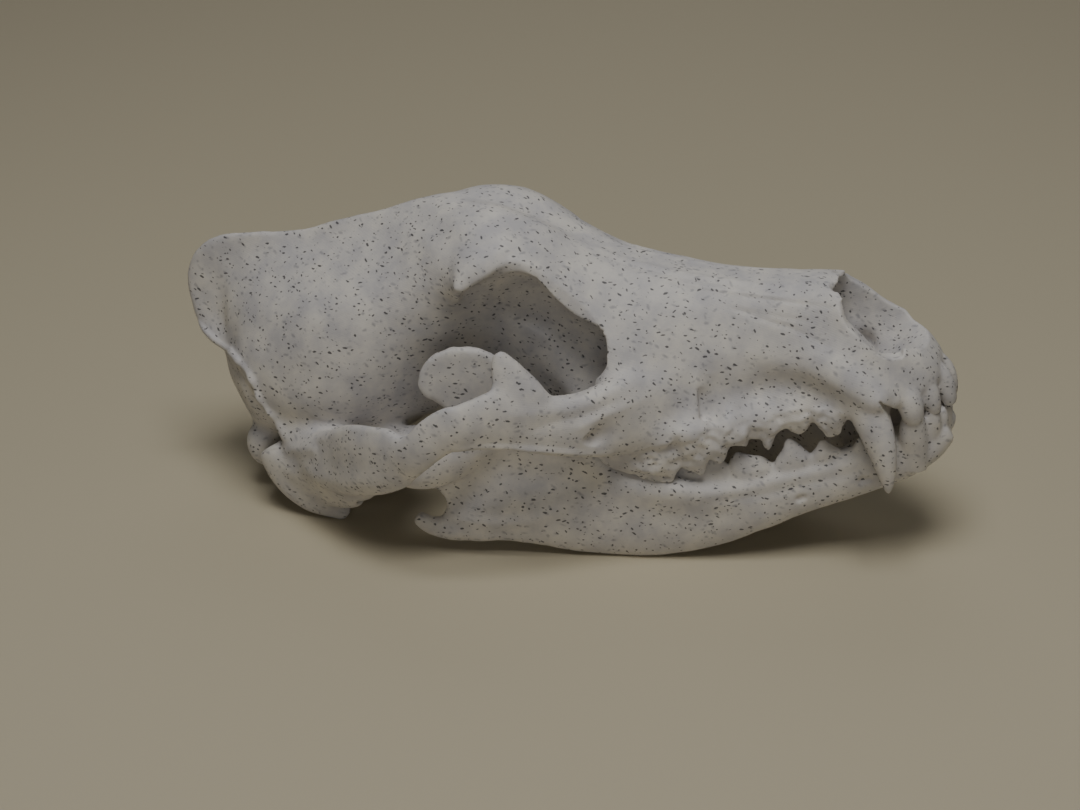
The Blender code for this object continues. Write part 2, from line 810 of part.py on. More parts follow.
def parted(bone):
    """The cranium's four pieces, with thin cuts between them."""
    gap = CUT_GAP / 2
    low, high = -100, 400
    pieces = []
    for name, side in (("zygomatic_arch_right", -1), ("zygomatic_arch_left", 1)):
        near, far = sorted((side * (ARCH_CUT_Y + gap), side * high))
        arch = copy_of(bone, name)
        kept = block("kept", (ARCH_REAR_X + gap, near, low), (SNOUT_CUT_X - gap, far, high))
        boolean(arch, kept, "INTERSECT")
        near, far = sorted((side * (ARCH_CUT_Y - gap), side * high))
        cut = block("cut", (ARCH_REAR_X - gap, near, low), (SNOUT_CUT_X + gap, far, high))
        boolean(bone, cut, "DIFFERENCE")
        pieces.append(arch)
    rostrum = copy_of(bone, "rostrum")
    boolean(rostrum, block("keep", (SNOUT_CUT_X + gap, low, low), (high, high, high)), "INTERSECT")
    boolean(bone, block("cut", (SNOUT_CUT_X - gap, low, low), (high, high, high)), "DIFFERENCE")
    bone.name = "braincase"
    return [largest_surface(piece) for piece in (bone, rostrum, *pieces)]


def rest(items):
    """Turns the skull nose up and sets it on small flats on the floor, centred."""
    turn = Matrix.Rotation(-NOSE_UP, 4, "Y")
    for item in items:
        item.data.transform(turn)
    corners = np.array([v.co for item in items for v in item.data.vertices])
    low, high = corners.min(axis=0), corners.max(axis=0)
    sink = low[2] + FLAT_DEPTH * MM
    shift = Matrix.Translation((-(low[0] + high[0]) / 2, -(low[1] + high[1]) / 2, -sink))
    for item in items:
        item.data.transform(shift)
        if min(v.co.z for v in item.data.vertices) < 0:
            boolean(item, block("floor", (-300, -200, -50), (300, 200, 0)), "DIFFERENCE")
            largest_surface(item)


def main():
    clear_scene()
    braincase, rostrum, *arches = parted(thinned(cranium(), CRANIUM_FACES))
    upper = teeth(UPPER_CUSPS) + [bar("canine", UPPER_CANINE, up=(1, 0, 0), steps=1, sides=8)]
    largest_surface(add_all(rostrum, both_sides(upper)))
    right = thinned(jaw(), JAW_FACES)
    largest_surface(add_all(right, teeth(LOWER_CUSPS)))
    left = mirrored(right)
    left.name = "mandible_left"
    nodes = [braincase, rostrum, *arches, right, left]
    rest(nodes)
    for item in nodes:
        item.data.shade_smooth()
        item.data.set_sharp_from_angle(angle=SHARP_ANGLE)
        item.data.materials.clear()
        item.data.materials.append(material_of(item.name, BONE_COLOUR, BONE_ROUGHNESS))


main()
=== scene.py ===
"""The finish of a wolf skull replica: one smooth skin for the cranium, the two halves of the jaw
and the teeth, all in speckled white plastic.

The forms are laid out in the skull's own frame, in millimetres: x runs from the back of the crest
to the front teeth, y to the animal's left and z up from the gum line of the upper teeth.
"""

import math

import bmesh
import bpy
import numpy as np
from mathutils import Matrix, Vector, noise


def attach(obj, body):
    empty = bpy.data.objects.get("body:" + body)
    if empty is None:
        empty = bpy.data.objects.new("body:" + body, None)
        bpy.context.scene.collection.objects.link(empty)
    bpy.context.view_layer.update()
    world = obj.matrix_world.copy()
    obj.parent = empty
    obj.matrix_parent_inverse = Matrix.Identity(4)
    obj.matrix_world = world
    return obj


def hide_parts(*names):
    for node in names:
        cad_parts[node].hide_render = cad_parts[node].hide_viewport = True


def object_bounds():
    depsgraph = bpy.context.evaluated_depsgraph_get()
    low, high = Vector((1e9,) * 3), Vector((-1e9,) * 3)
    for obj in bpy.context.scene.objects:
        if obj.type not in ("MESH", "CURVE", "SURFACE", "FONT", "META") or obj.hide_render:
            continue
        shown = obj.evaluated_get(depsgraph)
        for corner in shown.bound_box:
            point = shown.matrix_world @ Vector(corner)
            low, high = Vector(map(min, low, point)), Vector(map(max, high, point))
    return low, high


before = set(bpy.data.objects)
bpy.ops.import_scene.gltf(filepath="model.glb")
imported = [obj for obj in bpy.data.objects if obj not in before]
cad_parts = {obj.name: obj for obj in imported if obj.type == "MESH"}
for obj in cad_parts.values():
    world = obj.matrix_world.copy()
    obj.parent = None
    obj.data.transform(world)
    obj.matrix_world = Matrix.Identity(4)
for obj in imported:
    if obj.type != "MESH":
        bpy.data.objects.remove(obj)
cad_low, cad_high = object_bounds()

MM = 0.001
NOSE_UP = math.radians(13.5)
# Where the skull's own origin lies once it rests on the floor, in metres
RESTING_PLACE = (-0.12225, 0.000022, 0.00547)

# Grain of the meshes in millimetres: for broad blends, for the bone, and for the teeth
BLEND_GRAIN = 1.2
BONE_GRAIN = 0.65
FINE_GRAIN = 0.55
CRANIUM_TRIANGLES = 196000
JAW_TRIANGLES = 90000

# Cross-sections of the cranium, back to front
# x, lowest z, highest z, then half widths at the six heights below
RING_HEIGHTS = (0.02, 0.25, 0.5, 0.72, 0.87, 0.98)
CRANIUM = [
    (5.5, 22, 60, 5, 9, 11, 8, 5, 3),
    (11, 13, 72, 9, 17, 18, 12, 7, 3),
    (20, 10, 84, 12, 26, 26, 17, 8.5, 2.6),
    (35, 9, 86, 14, 32, 31, 23.5, 12, 2.8),
    (50, 9, 86.5, 15, 34, 34, 28, 15, 3),
    (65, 10, 88, 14, 31, 34, 28.5, 15.5, 3.5),
    (80, 12, 89.5, 11, 24, 30, 27, 16.5, 4.5),
    (92, 14, 91, 10, 17, 26.5, 26.8, 18, 6.5),
    (102, 15, 92, 10, 14, 23.5, 27.5, 21.5, 10),
    (112, 15, 92.5, 11, 14, 19, 27, 24.6, 15),
    (125, 14, 90, 12, 15, 17, 27, 27, 17),
    (138, 8, 82.5, 17, 20, 19, 28, 26, 15),
    (148, 3, 73.5, 30, 35, 27, 28, 23, 12),
    (158, 2, 66.3, 34, 40, 36, 28, 21, 11),
    (168, 2, 61, 33.5, 36, 33, 26, 19, 10),
    (180, 2, 56.3, 31, 31, 28, 22.5, 17, 9),
    (195, 1.5, 51.2, 26, 26, 24, 19.5, 15, 8.5),
    (212, 0.5, 47.4, 20.5, 21, 20.5, 17.5, 13.5, 8),
    (228, 0, 44.8, 20.5, 21.5, 20.5, 16.5, 13, 8),
    (236, 0, 43.4, 22, 23, 21, 16.5, 13.5, 8.5),
    (243.6, 0, 41.6, 22.2, 23.2, 21, 17, 14.5, 8.5),
    (247.6, 0, 28, 21, 22, 20.6, 19.2, 17.2, 13),
    (252, 0, 22.5, 19.5, 20, 19, 18, 16.5, 13),
    (258, 0.5, 20.5, 17, 17.3, 16.5, 15, 13, 9),
    (264, 1, 16, 13, 13.5, 12.8, 11.5, 9.5, 6),
    (268.5, 2, 9, 7.5, 8, 7.5, 6.5, 5, 3),
]

# Upper edge of the sagittal crest: x and z, with half thickness at the edge
CREST = [
    (-4.8, 68, 1.9),
    (-4.4, 77, 1.9),
    (-1, 83.5, 1.8),
    (4, 88.3, 1.7),
    (11, 91.3, 1.6),
    (24, 91.3, 1.6),
    (42, 89.3, 1.6),
    (62, 91, 1.8),
    (82, 92.5, 2.4),
    (97, 94, 4.5),
    (108, 93.6, 7.5),
    (117, 91, 9),
]
CREST_ROOT_Z = 60.0
# How much thicker the crest is at its root and half way up, and how it narrows just under its edge
CREST_ROOT_EXTRA = 4
CREST_MIDDLE_EXTRA = 1.2
CREST_EDGE_DROP = 1.2
CREST_EDGE_SHARE = 0.4

# Nuchal crest down one side: x, y, z, half thickness, half reach
NUCHAL = [
    (0.5, 1, 77, 2.2, 5.5),
    (0.5, -1.2, 67, 2.2, 6),
    (3, -3, 58.5, 2.2, 6.2),
    (8.6, -7.4, 53.3, 2.2, 6.5),
    (15.6, -11.2, 49.6, 2.2, 6.5),
    (21.6, -15.6, 45.4, 2.2, 6.5),
    (25.4, -20, 40, 2.3, 6.5),
    (28.4, -24, 33, 2.5, 6.5),
    (31.4, -27.4, 25, 2.8, 6.5),
    (35, -30, 16, 3.6, 6.5),
    (38, -31.6, 8, 4.5, 6.5),
]

# Bars and prongs of one side: x, y, z, half thickness, half height
CHEEK_ARCH = [
    (186, -18, 18, 5, 9),
    (172, -29, 17, 7, 13.5),
    (160, -38, 17, 6.5, 15.5),
    (152, -43.3, 18.5, 5.6, 13.5),
    (145, -47.8, 20.5, 4.8, 12.2),
    (137, -52.7, 23.5, 4.2, 11.2),
    (130, -56.7, 28.4, 3.9, 11.2),
    (122, -60.2, 31.6, 3.7, 11.2),
    (115, -62.8, 32, 3.5, 9.4),
    (107, -64.8, 31.8, 3.3, 8.4),
    (98, -65.8, 28.3, 3.3, 7.6),
    (90.5, -64.8, 24, 3.8, 8),
    (84, -62, 22, 4.4, 11),
    (75, -57.5, 20, 5.4, 13),
    (65, -51, 17.5, 6.2, 13.6),
    (55, -43.5, 14.5, 6.4, 13),
    (45, -36.5, 12.5, 6.5, 12.2),
    (35, -30, 12, 6, 11),
]
JUGAL_PRONG = [
    (131.5, -56, 29, 3.6, 12),
    (130.6, -55.4, 38, 3.4, 9.5),
    (128.8, -54.6, 45, 3, 6.8),
    (127.4, -54, 50.5, 2.5, 4.4),
    (126.8, -53.6, 54, 1.9, 2.4),
]
BROW_PRONG = [
    (121, -13, 78, 8, 17),
    (118, -21.5, 77.6, 7, 14),
    (115.4, -28, 75.4, 5, 8.6),
    (113, -32.4, 72.8, 3, 4),
    (111.2, -35.6, 70.6, 1.6, 1.8),
]
# The temporal line, which runs from the brow's prong back into the braincase
BROW_REAR = [
    (94, -17, 72, 4, 9),
    (100, -22, 70.5, 4, 10),
    (105, -25.6, 69, 3.4, 9),
    (108.6, -29.4, 69, 2.4, 5.6),
    (110.6, -33, 69.6, 1.4, 2.2),
]
PARAOCCIPITAL = [
    (22.5, -25.5, 15, 6, 8),
    (26.5, -28.6, 6, 5.2, 9),
    (34, -31, -3, 4.2, 9),
    (41.5, -32, -10.6, 3.5, 5.8),
    (45, -32, -15.4, 2.4, 2.8),
]
MASTOID = [
    (22.5, -28, 10, 5, 8),
    (38, -33.5, 3, 5, 10),
    (49, -38, 1, 5, 9.5),
    (58, -43, 4, 5, 7.5),
    (68, -47, 8, 4.5, 5.5),
]
SQUAMOSAL_ROOT = [
    (34, -27, 17, 7, 9),
    (46, -33, 15, 9, 9),
    (58, -38, 13, 9, 8),
    (69, -42, 13, 8, 6.5),
]
GLENOID_SHELF = [
    (72, -18, 9.5, 11, 4),
    (74, -32, 11, 10.5, 4.2),
    (76, -44, 14, 9.5, 5),
    (78, -57.5, 18, 8, 6.2),
]
POSTGLENOID = [
    (73, -34, 9, 3.4, 6),
    (73.5, -45, 9, 3.2, 5.6),
    (75.6, -57, 12.6, 3.2, 5.2),
]
PTERYGOID = [
    (146, -14, 9, 4, 6),
    (132, -12, 12, 2.6, 8),
    (118, -11.5, 12, 2.2, 8),
    (106, -11, 11, 2.2, 7),
    (98, -11, 10, 1.8, 4),
]

# The border that the upper teeth grow from, and the swelling over the canine's root
UPPER_GUM = [
    (262, -9, 3, 4, 3.4),
    (254, -16.5, 2.5, 4.5, 3.8),
    (245, -22.5, 2.5, 5, 4.2),
    (236, -21.5, 2, 4, 4.4),
    (226, -20.6, 2.2, 3.6, 4.4),
    (214, -21.4, 2.8, 3.6, 4.4),
    (204, -24.4, 3.2, 3.8, 4.4),
    (192, -29, 4, 4.2, 4.4),
    (180, -33, 5.2, 4.6, 4.4),
    (168, -36, 7, 4.8, 5),
    (156, -37, 7.4, 4.6, 6),
    (148, -35, 7.4, 4.4, 6.4),
]
CANINE_ROOT = [
    (248, -23, 2.5, 5.6, 6.5),
    (241, -21.6, 10.5, 5.2, 7),
    (232, -19.8, 17.5, 4.4, 6.8),
    (222, -17.5, 22, 3.4, 6),
]
# The rims of the nose opening, the left one standing a little higher
NOSE_RIM = [
    (237.5, -13.5, 35.5, 1.8, 3),
    (241, -15, 30.5, 2, 3),
    (246, -15.8, 23.2, 2.2, 3),
    (251, -15.4, 18.6, 2.6, 3),
    (257, -12.5, 16, 3, 3),
]
LEFT_RIM_RAISE = 2.8

# Round bodies of one side: x, y, z and three half sizes
CONDYLE = ((12, -14, 10), (6.5, 7, 8.5))
BULLA = ((56, -17, 8), (15, 10, 11.5))

# Hollows: x, y, z and half sizes
FORAMEN_MAGNUM = ((6, 0, 25), (14, 9, 7.5))
# Outline of the orbit seen from the side, x and z, and how it goes in: y, shift ahead, shift up, size
ORBIT_RIM = [
    (111.5, 67.8),
    (117, 70.8),
    (123.5, 73.2),
    (129.5, 74.4),
    (133, 73.6),
    (136, 71.6),
    (138.6, 68),
    (140.4, 64.4),
    (142.6, 61),
    (145.2, 57.6),
    (148.4, 54.4),
    (152.2, 52.2),
    (155.6, 49.4),
    (157.8, 44.6),
    (158.4, 38.6),
    (157.2, 34.2),
    (152.6, 31),
    (146.4, 31),
    (141, 34.4),
    (136, 42.5),
    (131, 51),
    (121, 60),
    (113, 62.5),
]
ORBIT_MIDDLE = (138, 53)
ORBIT_DEPTHS = [
    (-78, 0, 0, 1),
    (-46, 0, 0, 1),
    (-33, 0, 0, 1),
    (-28, 1.5, -2.5, 1.03),
    (-24, 4, -6.5, 1.04),
    (-20, 5, -9.5, 0.98),
    (-17, 4.5, -12, 0.86),
    (-15, 3.5, -13.5, 0.66),
    (-14, 3, -14, 0.4),
]
# Under the orbit's lower edge the hollow goes on down towards the palate
ORBIT_FLOOR = [
    (108, -25, 44, 8, 11),
    (122, -26, 40, 9, 14),
    (136, -26.5, 33, 9.5, 17),
    (148, -26.5, 29, 9.5, 16),
    (156.5, -27, 29, 7, 13),
]
NASAL_HOLLOW = [
    (270, 0, 30.5, 15, 15),
    (257, 0, 28.8, 14.4, 15.5),
    (246, 0, 27.6, 14, 19.5),
    (239.4, 0, 27.4, 12.8, 20.5),
    (237.8, 0, 27.4, 12.5, 14.8),
    (235.6, 0, 27.3, 12.4, 14.3),
    (232, 0, 27.2, 12.2, 13.6),
    (224, 0, 27, 10.6, 12),
    (212, 0, 26, 6, 7),
]
# The deep part of the nose, behind the rims
NASAL_DEPTH = [
    (250, 0, 18.5, 6, 3.5),
    (246, 0, 16.5, 9, 7),
    (241, 0, 15.5, 10.6, 8.6),
    (234, 0, 15.5, 10, 8.5),
    (222, 0, 17, 7, 7),
    (210, 0, 20, 4, 4),
]
# The pockets low down at the sides of the nose, where its floor is darkest
NASAL_POCKET = ((240.4, -9.4, 11.6), (4.6, 6, 4.4))
# What is taken off above the opening's right and left edges
NOSE_SLOPE = [
    (244.6, -15, 45, 5.6, 5),
    (243.9, -15, 39, 5.6, 5),
    (244.4, -15.2, 34.6, 5.6, 5),
    (247, -15.4, 31.3, 5.6, 5),
    (250.4, -15.6, 26.2, 5.4, 5),
    (253.8, -15.2, 22.1, 5, 5),
    (258.5, -14, 20.4, 4.4, 4.4),
]
NOSE_SLOPE_LEFT = [
    (239.5, 15, 46, 5.6, 5),
    (242.3, 15, 40.4, 5.6, 5),
    (246, 15.4, 36.6, 5.6, 5),
    (253.2, 15.4, 30, 5.4, 5),
    (257.8, 14.6, 27, 5, 5),
    (262.8, 13, 22.6, 4.4, 4.4),
]
# The notches in the nose opening's upper edge, beside the tip of the nasal bones
NASAL_NOTCH = ((239.8, -6.4, 46.5), (5.2, 3.9, 9))
CHOANA = [
    (86, 0, 10, 8, 9),
    (104, 0, 12, 8, 9),
    (124, 0, 12, 8, 7),
    (138, 0, 12, 7, 5),
]
PALATE_HOLLOW = [
    (128, 0, -9, 10, 12),
    (146, 0, -9, 21, 13),
    (165, 0, -10, 23, 15),
    (195, 0, -10, 18, 15),
    (215, 0, -10, 13, 14.5),
    (240, 0, -10, 14, 13.5),
    (256, 0, -9, 9, 11),
]
# The dark slot between the upper canine and the tooth before it: half width across and half length
CANINE_GAP = [
    (248.6, -24, 6.5, 9, 0.3),
    (249.9, -24, 3.5, 9, 0.9),
    (251.2, -24, 0, 9, 1.3),
    (252.3, -24, -4, 9, 1.6),
    (252.4, -24, -8, 9, 1.3),
    (251.8, -24, -12, 9, 0.8),
    (251.2, -24, -15, 9, 0.3),
]
MALAR_FOSSA = [
    (149.5, -53, 15, 2.4, 2.2),
    (152.5, -50.2, 14.6, 3.8, 3.6),
    (157, -48.8, 14.4, 3.8, 4.6),
    (163, -46.4, 15.4, 2.8, 4.6),
    (171, -43.4, 17, 1, 3),
]
INFRAORBITAL = [
    (202, -30, 13.5, 2, 4.5),
    (195, -30, 14.5, 3, 7),
    (189, -30, 15, 3.3, 8),
    (185.8, -30.4, 15.2, 3.2, 7.6),
]
EAR_HOLE = [
    (59, -47, -7, 3, 3.4),
    (57, -34, 5, 2.8, 3),
]

# Lower jaw of one side: x, y, z, half thickness, half height
JAW_BODY = [
    (267, -5, -18, 4.5, 4.5),
    (261, -7, -20.3, 6, 7.3),
    (252, -9.5, -22.8, 7.5, 9.2),
    (243, -11.5, -24.6, 7.2, 9.8),
    (229, -15, -26.6, 6.2, 10),
    (213, -19.5, -27.7, 5.8, 10.9),
    (197, -23.5, -29, 5.8, 12.6),
    (176, -28, -29.3, 6, 15.1),
    (157, -31.5, -26, 5.8, 16.9),
    (140, -35, -22, 5, 16),
    (122, -39, -16.7, 4, 14),
    (106, -42.4, -15, 3.2, 10.4),
    (94, -44.5, -16, 3, 7.6),
    (87, -45.3, -17, 2.6, 5),
]
JAW_GUM = [
    (262, -6, -16.5, 3, 3.6),
    (250, -11.5, -19, 3.4, 4),
    (236, -15.2, -20.4, 3, 4),
    (225, -17.8, -21.2, 3, 4),
    (213, -20.6, -21.4, 3, 4),
    (200, -23.8, -22, 3.2, 4),
    (188, -26, -21.6, 3.4, 4),
    (175, -28, -18.6, 3.6, 4.4),
    (162, -30, -12.8, 3.6, 5),
    (151, -31.2, -8, 2.8, 5),
    (144, -34.5, -3.6, 3, 4.4),
]
SYMPHYSIS = [
    (267, -3, -18, 4, 4.5),
    (257, -3.5, -21.5, 5, 8),
    (246, -4, -25, 5.5, 8.5),
    (236, -5, -28, 4.5, 6.5),
    (227, -8, -30, 3, 4),
]
# Outline of the jaw's upright plate: x and z
RAMUS = [
    (158, -16),
    (149, -4),
    (141, 8),
    (132, 24),
    (123, 41.4),
    (116, 48.8),
    (107, 51.6),
    (99, 50.6),
    (93.4, 46.4),
    (91, 40.6),
    (92.4, 35.4),
    (97, 30.6),
    (99.6, 25.5),
    (97, 19),
    (91, 15.4),
    (83, 13),
    (76.5, 10),
    (75, 6),
    (78.6, 4),
    (84, 1.4),
    (87.8, -2.6),
    (89.4, -8),
    (88, -12.5),
    (96, -20),
    (116, -24),
    (140, -30),
]
RAMUS_THICK = 3.8
# The plate's middle: x and y at its front, how far it leans out over its length, and by height
RAMUS_FRONT_X = 158
RAMUS_FRONT_Y = -32
RAMUS_SPREAD = 14
RAMUS_LENGTH = 78
RAMUS_TILT = 0.03
# The condyle and its neck, which fill the joint under the cheek arch
JAW_JOINT = [
    (77, -51, 8.4, 3.6, 3.6),
    (82, -52, 9.6, 5, 5.4),
    (88, -51.4, 9.8, 5, 7.6),
    (95, -49, 11.4, 4.2, 9.2),
    (103, -46.2, 14, 3, 9.6),
    (111, -43.6, 18, 2.2, 8.6),
]
JAW_ANGLE = [
    (98, -44, -17.5, 3, 6.6),
    (89, -45.5, -17, 2.8, 5.2),
    (82, -46, -14.5, 2.6, 4),
    (77.5, -46, -10.5, 2.3, 2.8),
]
# Raised front edge of the upright plate
RAMUS_FRONT = [
    (153, -33, -15, 3, 4),
    (144, -36, 1, 2.8, 3.6),
    (134, -38.5, 20, 2.8, 3.4),
    (124, -40, 38, 2.6, 3),
]

# Crowns of the cheek teeth, front to back: x, y, z of the gum, z of the biting edge, half width
UPPER_CROWNS = {
    "premolar_1": [
        (235.4, -21.8, -0.4, -1.8, 1.3), (233.4, -22, -0.4, -5, 2.4), (230.8, -22.2, -0.4, -7.6, 2.9),
        (228.4, -22.3, -0.4, -8.3, 3), (225.8, -22.2, -0.3, -6.4, 2.8), (224.1, -22, 0, -3, 2),
        (223.1, -21.9, 0, -1, 1.1),
    ],
    "premolar_2": [
        (223.4, -21.6, 0, -1.2, 1.2), (221.6, -21.7, 0, -3.4, 2.3), (219.2, -21.7, 0, -5.4, 2.8),
        (216.8, -21.8, 0, -5.9, 2.9), (214.4, -22.2, 0.2, -3.6, 2.6), (212.6, -22.5, 0.3, -1.6, 1.6),
    ],
    "premolar_3": [
        (213.8, -22.8, 0.3, -1.6, 1.5), (211.4, -23.2, 0.2, -2.8, 2.4), (209.2, -23.6, 0, -4.8, 2.8),
        (207.2, -24, -0.1, -8.2, 3), (205.6, -24.3, -0.2, -9.6, 3), (204.2, -24.6, -0.3, -6.4, 2.9),
        (202.4, -24.9, -0.3, -4.6, 2.8), (200.2, -25.3, 0, -3.6, 2.5), (198.6, -25.8, 0.4, -1.6, 1.6),
    ],
    "carnassial": [
        (200.6, -27.2, 1, -2, 1.8), (199.6, -27.6, 1, -4.6, 2.8), (196.8, -28.6, 0.8, -4.8, 3.2),
        (193.8, -29.6, 0.9, -4.6, 3.4), (192.2, -30, 1, -6.6, 3.5), (190.2, -30.6, 1, -9.4, 3.5),
        (188, -31.2, 1, -8.2, 3.4), (185.6, -31.8, 1, -7, 3.4), (184.2, -32.2, 1.2, -10.2, 3.4),
        (182.4, -32.6, 1.4, -12.5, 3.4), (180, -33, 1.6, -11.4, 3.2), (177.6, -33.6, 1.8, -9.6, 2.8),
        (175.6, -34, 2, -6, 1.8),
    ],
    "molar_1": [
        (177.2, -34, 2.2, -4, 1.4), (175.2, -34.4, 2.3, -8.4, 2.2), (172.8, -34.8, 2.4, -12, 2.8),
        (170, -35, 2.6, -13, 3.2), (166.6, -35.2, 2.8, -12.2, 3.2), (163, -35.2, 3, -10.8, 3.2),
        (160, -35, 3, -8.8, 2.8), (157.6, -35, 3, -6.8, 2.2),
    ],
    "molar_2": [
        (161, -36.2, 3, -7.6, 2.2), (157, -36, 3, -7.4, 2.4), (153, -35.8, 3, -5.6, 2.4),
        (149, -35.4, 3, -3.6, 2), (146, -35, 3, -1, 1.4),
    ],
    "molar_1_inner": [
        (172, -30, 2.4, -0.4, 2.6), (168.5, -29.6, 2.6, -3, 5), (165, -29.2, 2.6, -3.6, 5.4),
        (161.5, -29.2, 2.8, -2.2, 4), (159, -29.4, 3, 0, 2),
    ],
    "molar_2_inner": [
        (157, -29.4, 3, 0, 2), (154.6, -29, 3, -2, 3.6), (152, -28.8, 3, -1.8, 3.4),
        (149.4, -29, 3, 0, 1.8),
    ],
}
LOWER_CROWNS = {
    "premolar_1": [
        (239, -14.8, -17.4, -16, 1.2), (236.8, -15.2, -17.4, -12.8, 2.1),
        (234.4, -15.8, -17.4, -15.6, 1.3),
    ],
    "premolar_2": [
        (229.8, -16.9, -17.2, -15.6, 1.4), (227.4, -17.5, -17.2, -13.4, 2.3),
        (225.4, -18, -17.2, -11, 2.7), (223.6, -18.4, -17.3, -10.6, 2.7), (221.6, -18.9, -17.4, -13, 2.4),
        (219.8, -19.2, -17.4, -15, 1.6),
    ],
    "premolar_3": [
        (219.8, -19.6, -17.4, -15.6, 1.6), (217.6, -20, -17.4, -12.4, 2.5),
        (215.4, -20.5, -17.4, -9, 2.9), (213.4, -20.9, -17.5, -7.2, 2.9),
        (211.8, -21.3, -17.6, -7.8, 2.9), (210, -21.7, -17.8, -11.2, 2.7),
        (208, -22.1, -17.9, -13.4, 2.3), (206.4, -22.5, -18, -15.6, 1.5),
    ],
    "premolar_4": [
        (205.6, -22.8, -18, -15.4, 1.8), (203.4, -23.2, -18.2, -12.6, 2.8), (200, -24, -18.3, -11, 3),
        (197, -24.6, -18.4, -9.6, 3.1), (194.6, -25, -18.5, -8.6, 3), (192.4, -25.3, -18.5, -10.2, 2.7),
        (190.6, -25.5, -18.5, -13.6, 1.8),
    ],
    "carnassial": [
        (190.6, -25.8, -18.5, -13, 2), (188, -26.1, -18.2, -9.6, 2.9), (184.6, -26.4, -17.6, -8.6, 3),
        (181, -26.7, -17, -5.2, 3), (177.4, -26.9, -16.2, -6.4, 3), (173, -27, -15, -8.2, 3),
        (168.6, -27.2, -13.4, -8, 2.6), (166, -27.4, -12.4, -10, 1.6),
    ],
    "molar_2": [
        (165, -28.2, -11.6, -9, 1.8), (162, -28.6, -10, -6, 2.8), (159, -28.8, -8.6, -5.4, 2.6),
        (156.6, -29.2, -7.4, -6.2, 1.6),
    ],
    "molar_3": [
        (155.4, -30, -6.6, -4.4, 1.4), (153.4, -30.4, -5.4, -2.6, 2.1), (151.6, -30.8, -4.6, -3.6, 1.2),
    ],
}

# Front teeth: x, y, z, half width across, half depth along the jaw
UPPER_FRONT = {
    "canine": [
        (238.8, -19, 10, 3.6, 5.4), (242.4, -21.6, 4.5, 4.7, 6.8), (243.8, -23.2, -0.5, 4.9, 7),
        (245.2, -25, -6, 4.6, 6.3), (246.2, -26.3, -13, 4, 5.3), (246.2, -27.2, -19.5, 3, 3.8),
        (246.2, -27.6, -25, 2, 2.4), (245.8, -27.6, -28.4, 1.2, 1.2), (245.6, -27.5, -29.8, 0.5, 0.5),
    ],
    "incisor_3": [
        (252.8, -13, 8, 3, 3.2), (255.4, -15, 3.6, 4.2, 4.4), (256.4, -16, 0, 4.6, 4.9),
        (257, -16.3, -4, 4.4, 4.7), (257.6, -16.2, -8.4, 3.4, 3.4),
    ],
    "incisor_2": [
        (258, -8.6, 8, 2.8, 3.2), (261.6, -9.8, 3, 3.8, 4), (263, -10.3, -1, 4, 4.2),
        (263.8, -10.6, -5, 3.6, 3.4), (264.2, -10.7, -8.5, 2.6, 2.2),
    ],
    "incisor_1": [
        (261.5, -3.3, 8, 2.8, 3.2), (266, -3.6, 3.6, 3.5, 4.2), (267.8, -3.6, -1, 3.6, 4.4),
        (268.8, -3.6, -5.5, 3.4, 3.4), (269.2, -3.6, -9, 2.6, 2.2),
    ],
}
LOWER_FRONT = {
    "canine": [
        (252.6, -12.5, -28, 4.5, 6), (254.8, -13.8, -20, 4.4, 5.4), (256, -14.8, -13, 4.2, 4.9),
        (257, -15.3, -8, 3.4, 4), (257.4, -15.4, -4.5, 2.2, 2.6),
    ],
    "incisor_3": [
        (257, -9.4, -26, 3, 3.4), (261, -10.2, -17, 3.1, 3.6), (262.6, -10.8, -11, 3, 3.2),
        (263, -11, -6.6, 2.4, 2.2),
    ],
    "incisor_2": [
        (259.5, -6.2, -26, 2.6, 3.4), (264, -6.5, -16, 2.8, 3.4), (265.4, -6.6, -11.5, 2.6, 2.6),
        (265.8, -6.7, -8.8, 2, 1.6),
    ],
    "incisor_1": [
        (260.5, -2.3, -26, 2.3, 3.4), (265, -2.4, -16, 2.4, 3.4), (266.6, -2.4, -12, 2.3, 2.6),
        (267, -2.4, -9.4, 1.8, 1.6),
    ],
}
ROOT_DEPTH = 5.0

# A thin raised edge that is laid on the bone: x, y, z, half thickness, half height
NUCHAL_RIM = [
    (-3.4, -2.4, 63, 0.7, 0.9),
    (-2.2, -5.4, 58.2, 1, 1.3),
    (3, -10, 53.8, 1.2, 1.5),
    (9.4, -14.4, 50.8, 0.9, 1.3),
    (13.4, -18.6, 50, 1.2, 1.5),
    (18, -23.6, 49, 0.8, 0.9),
]

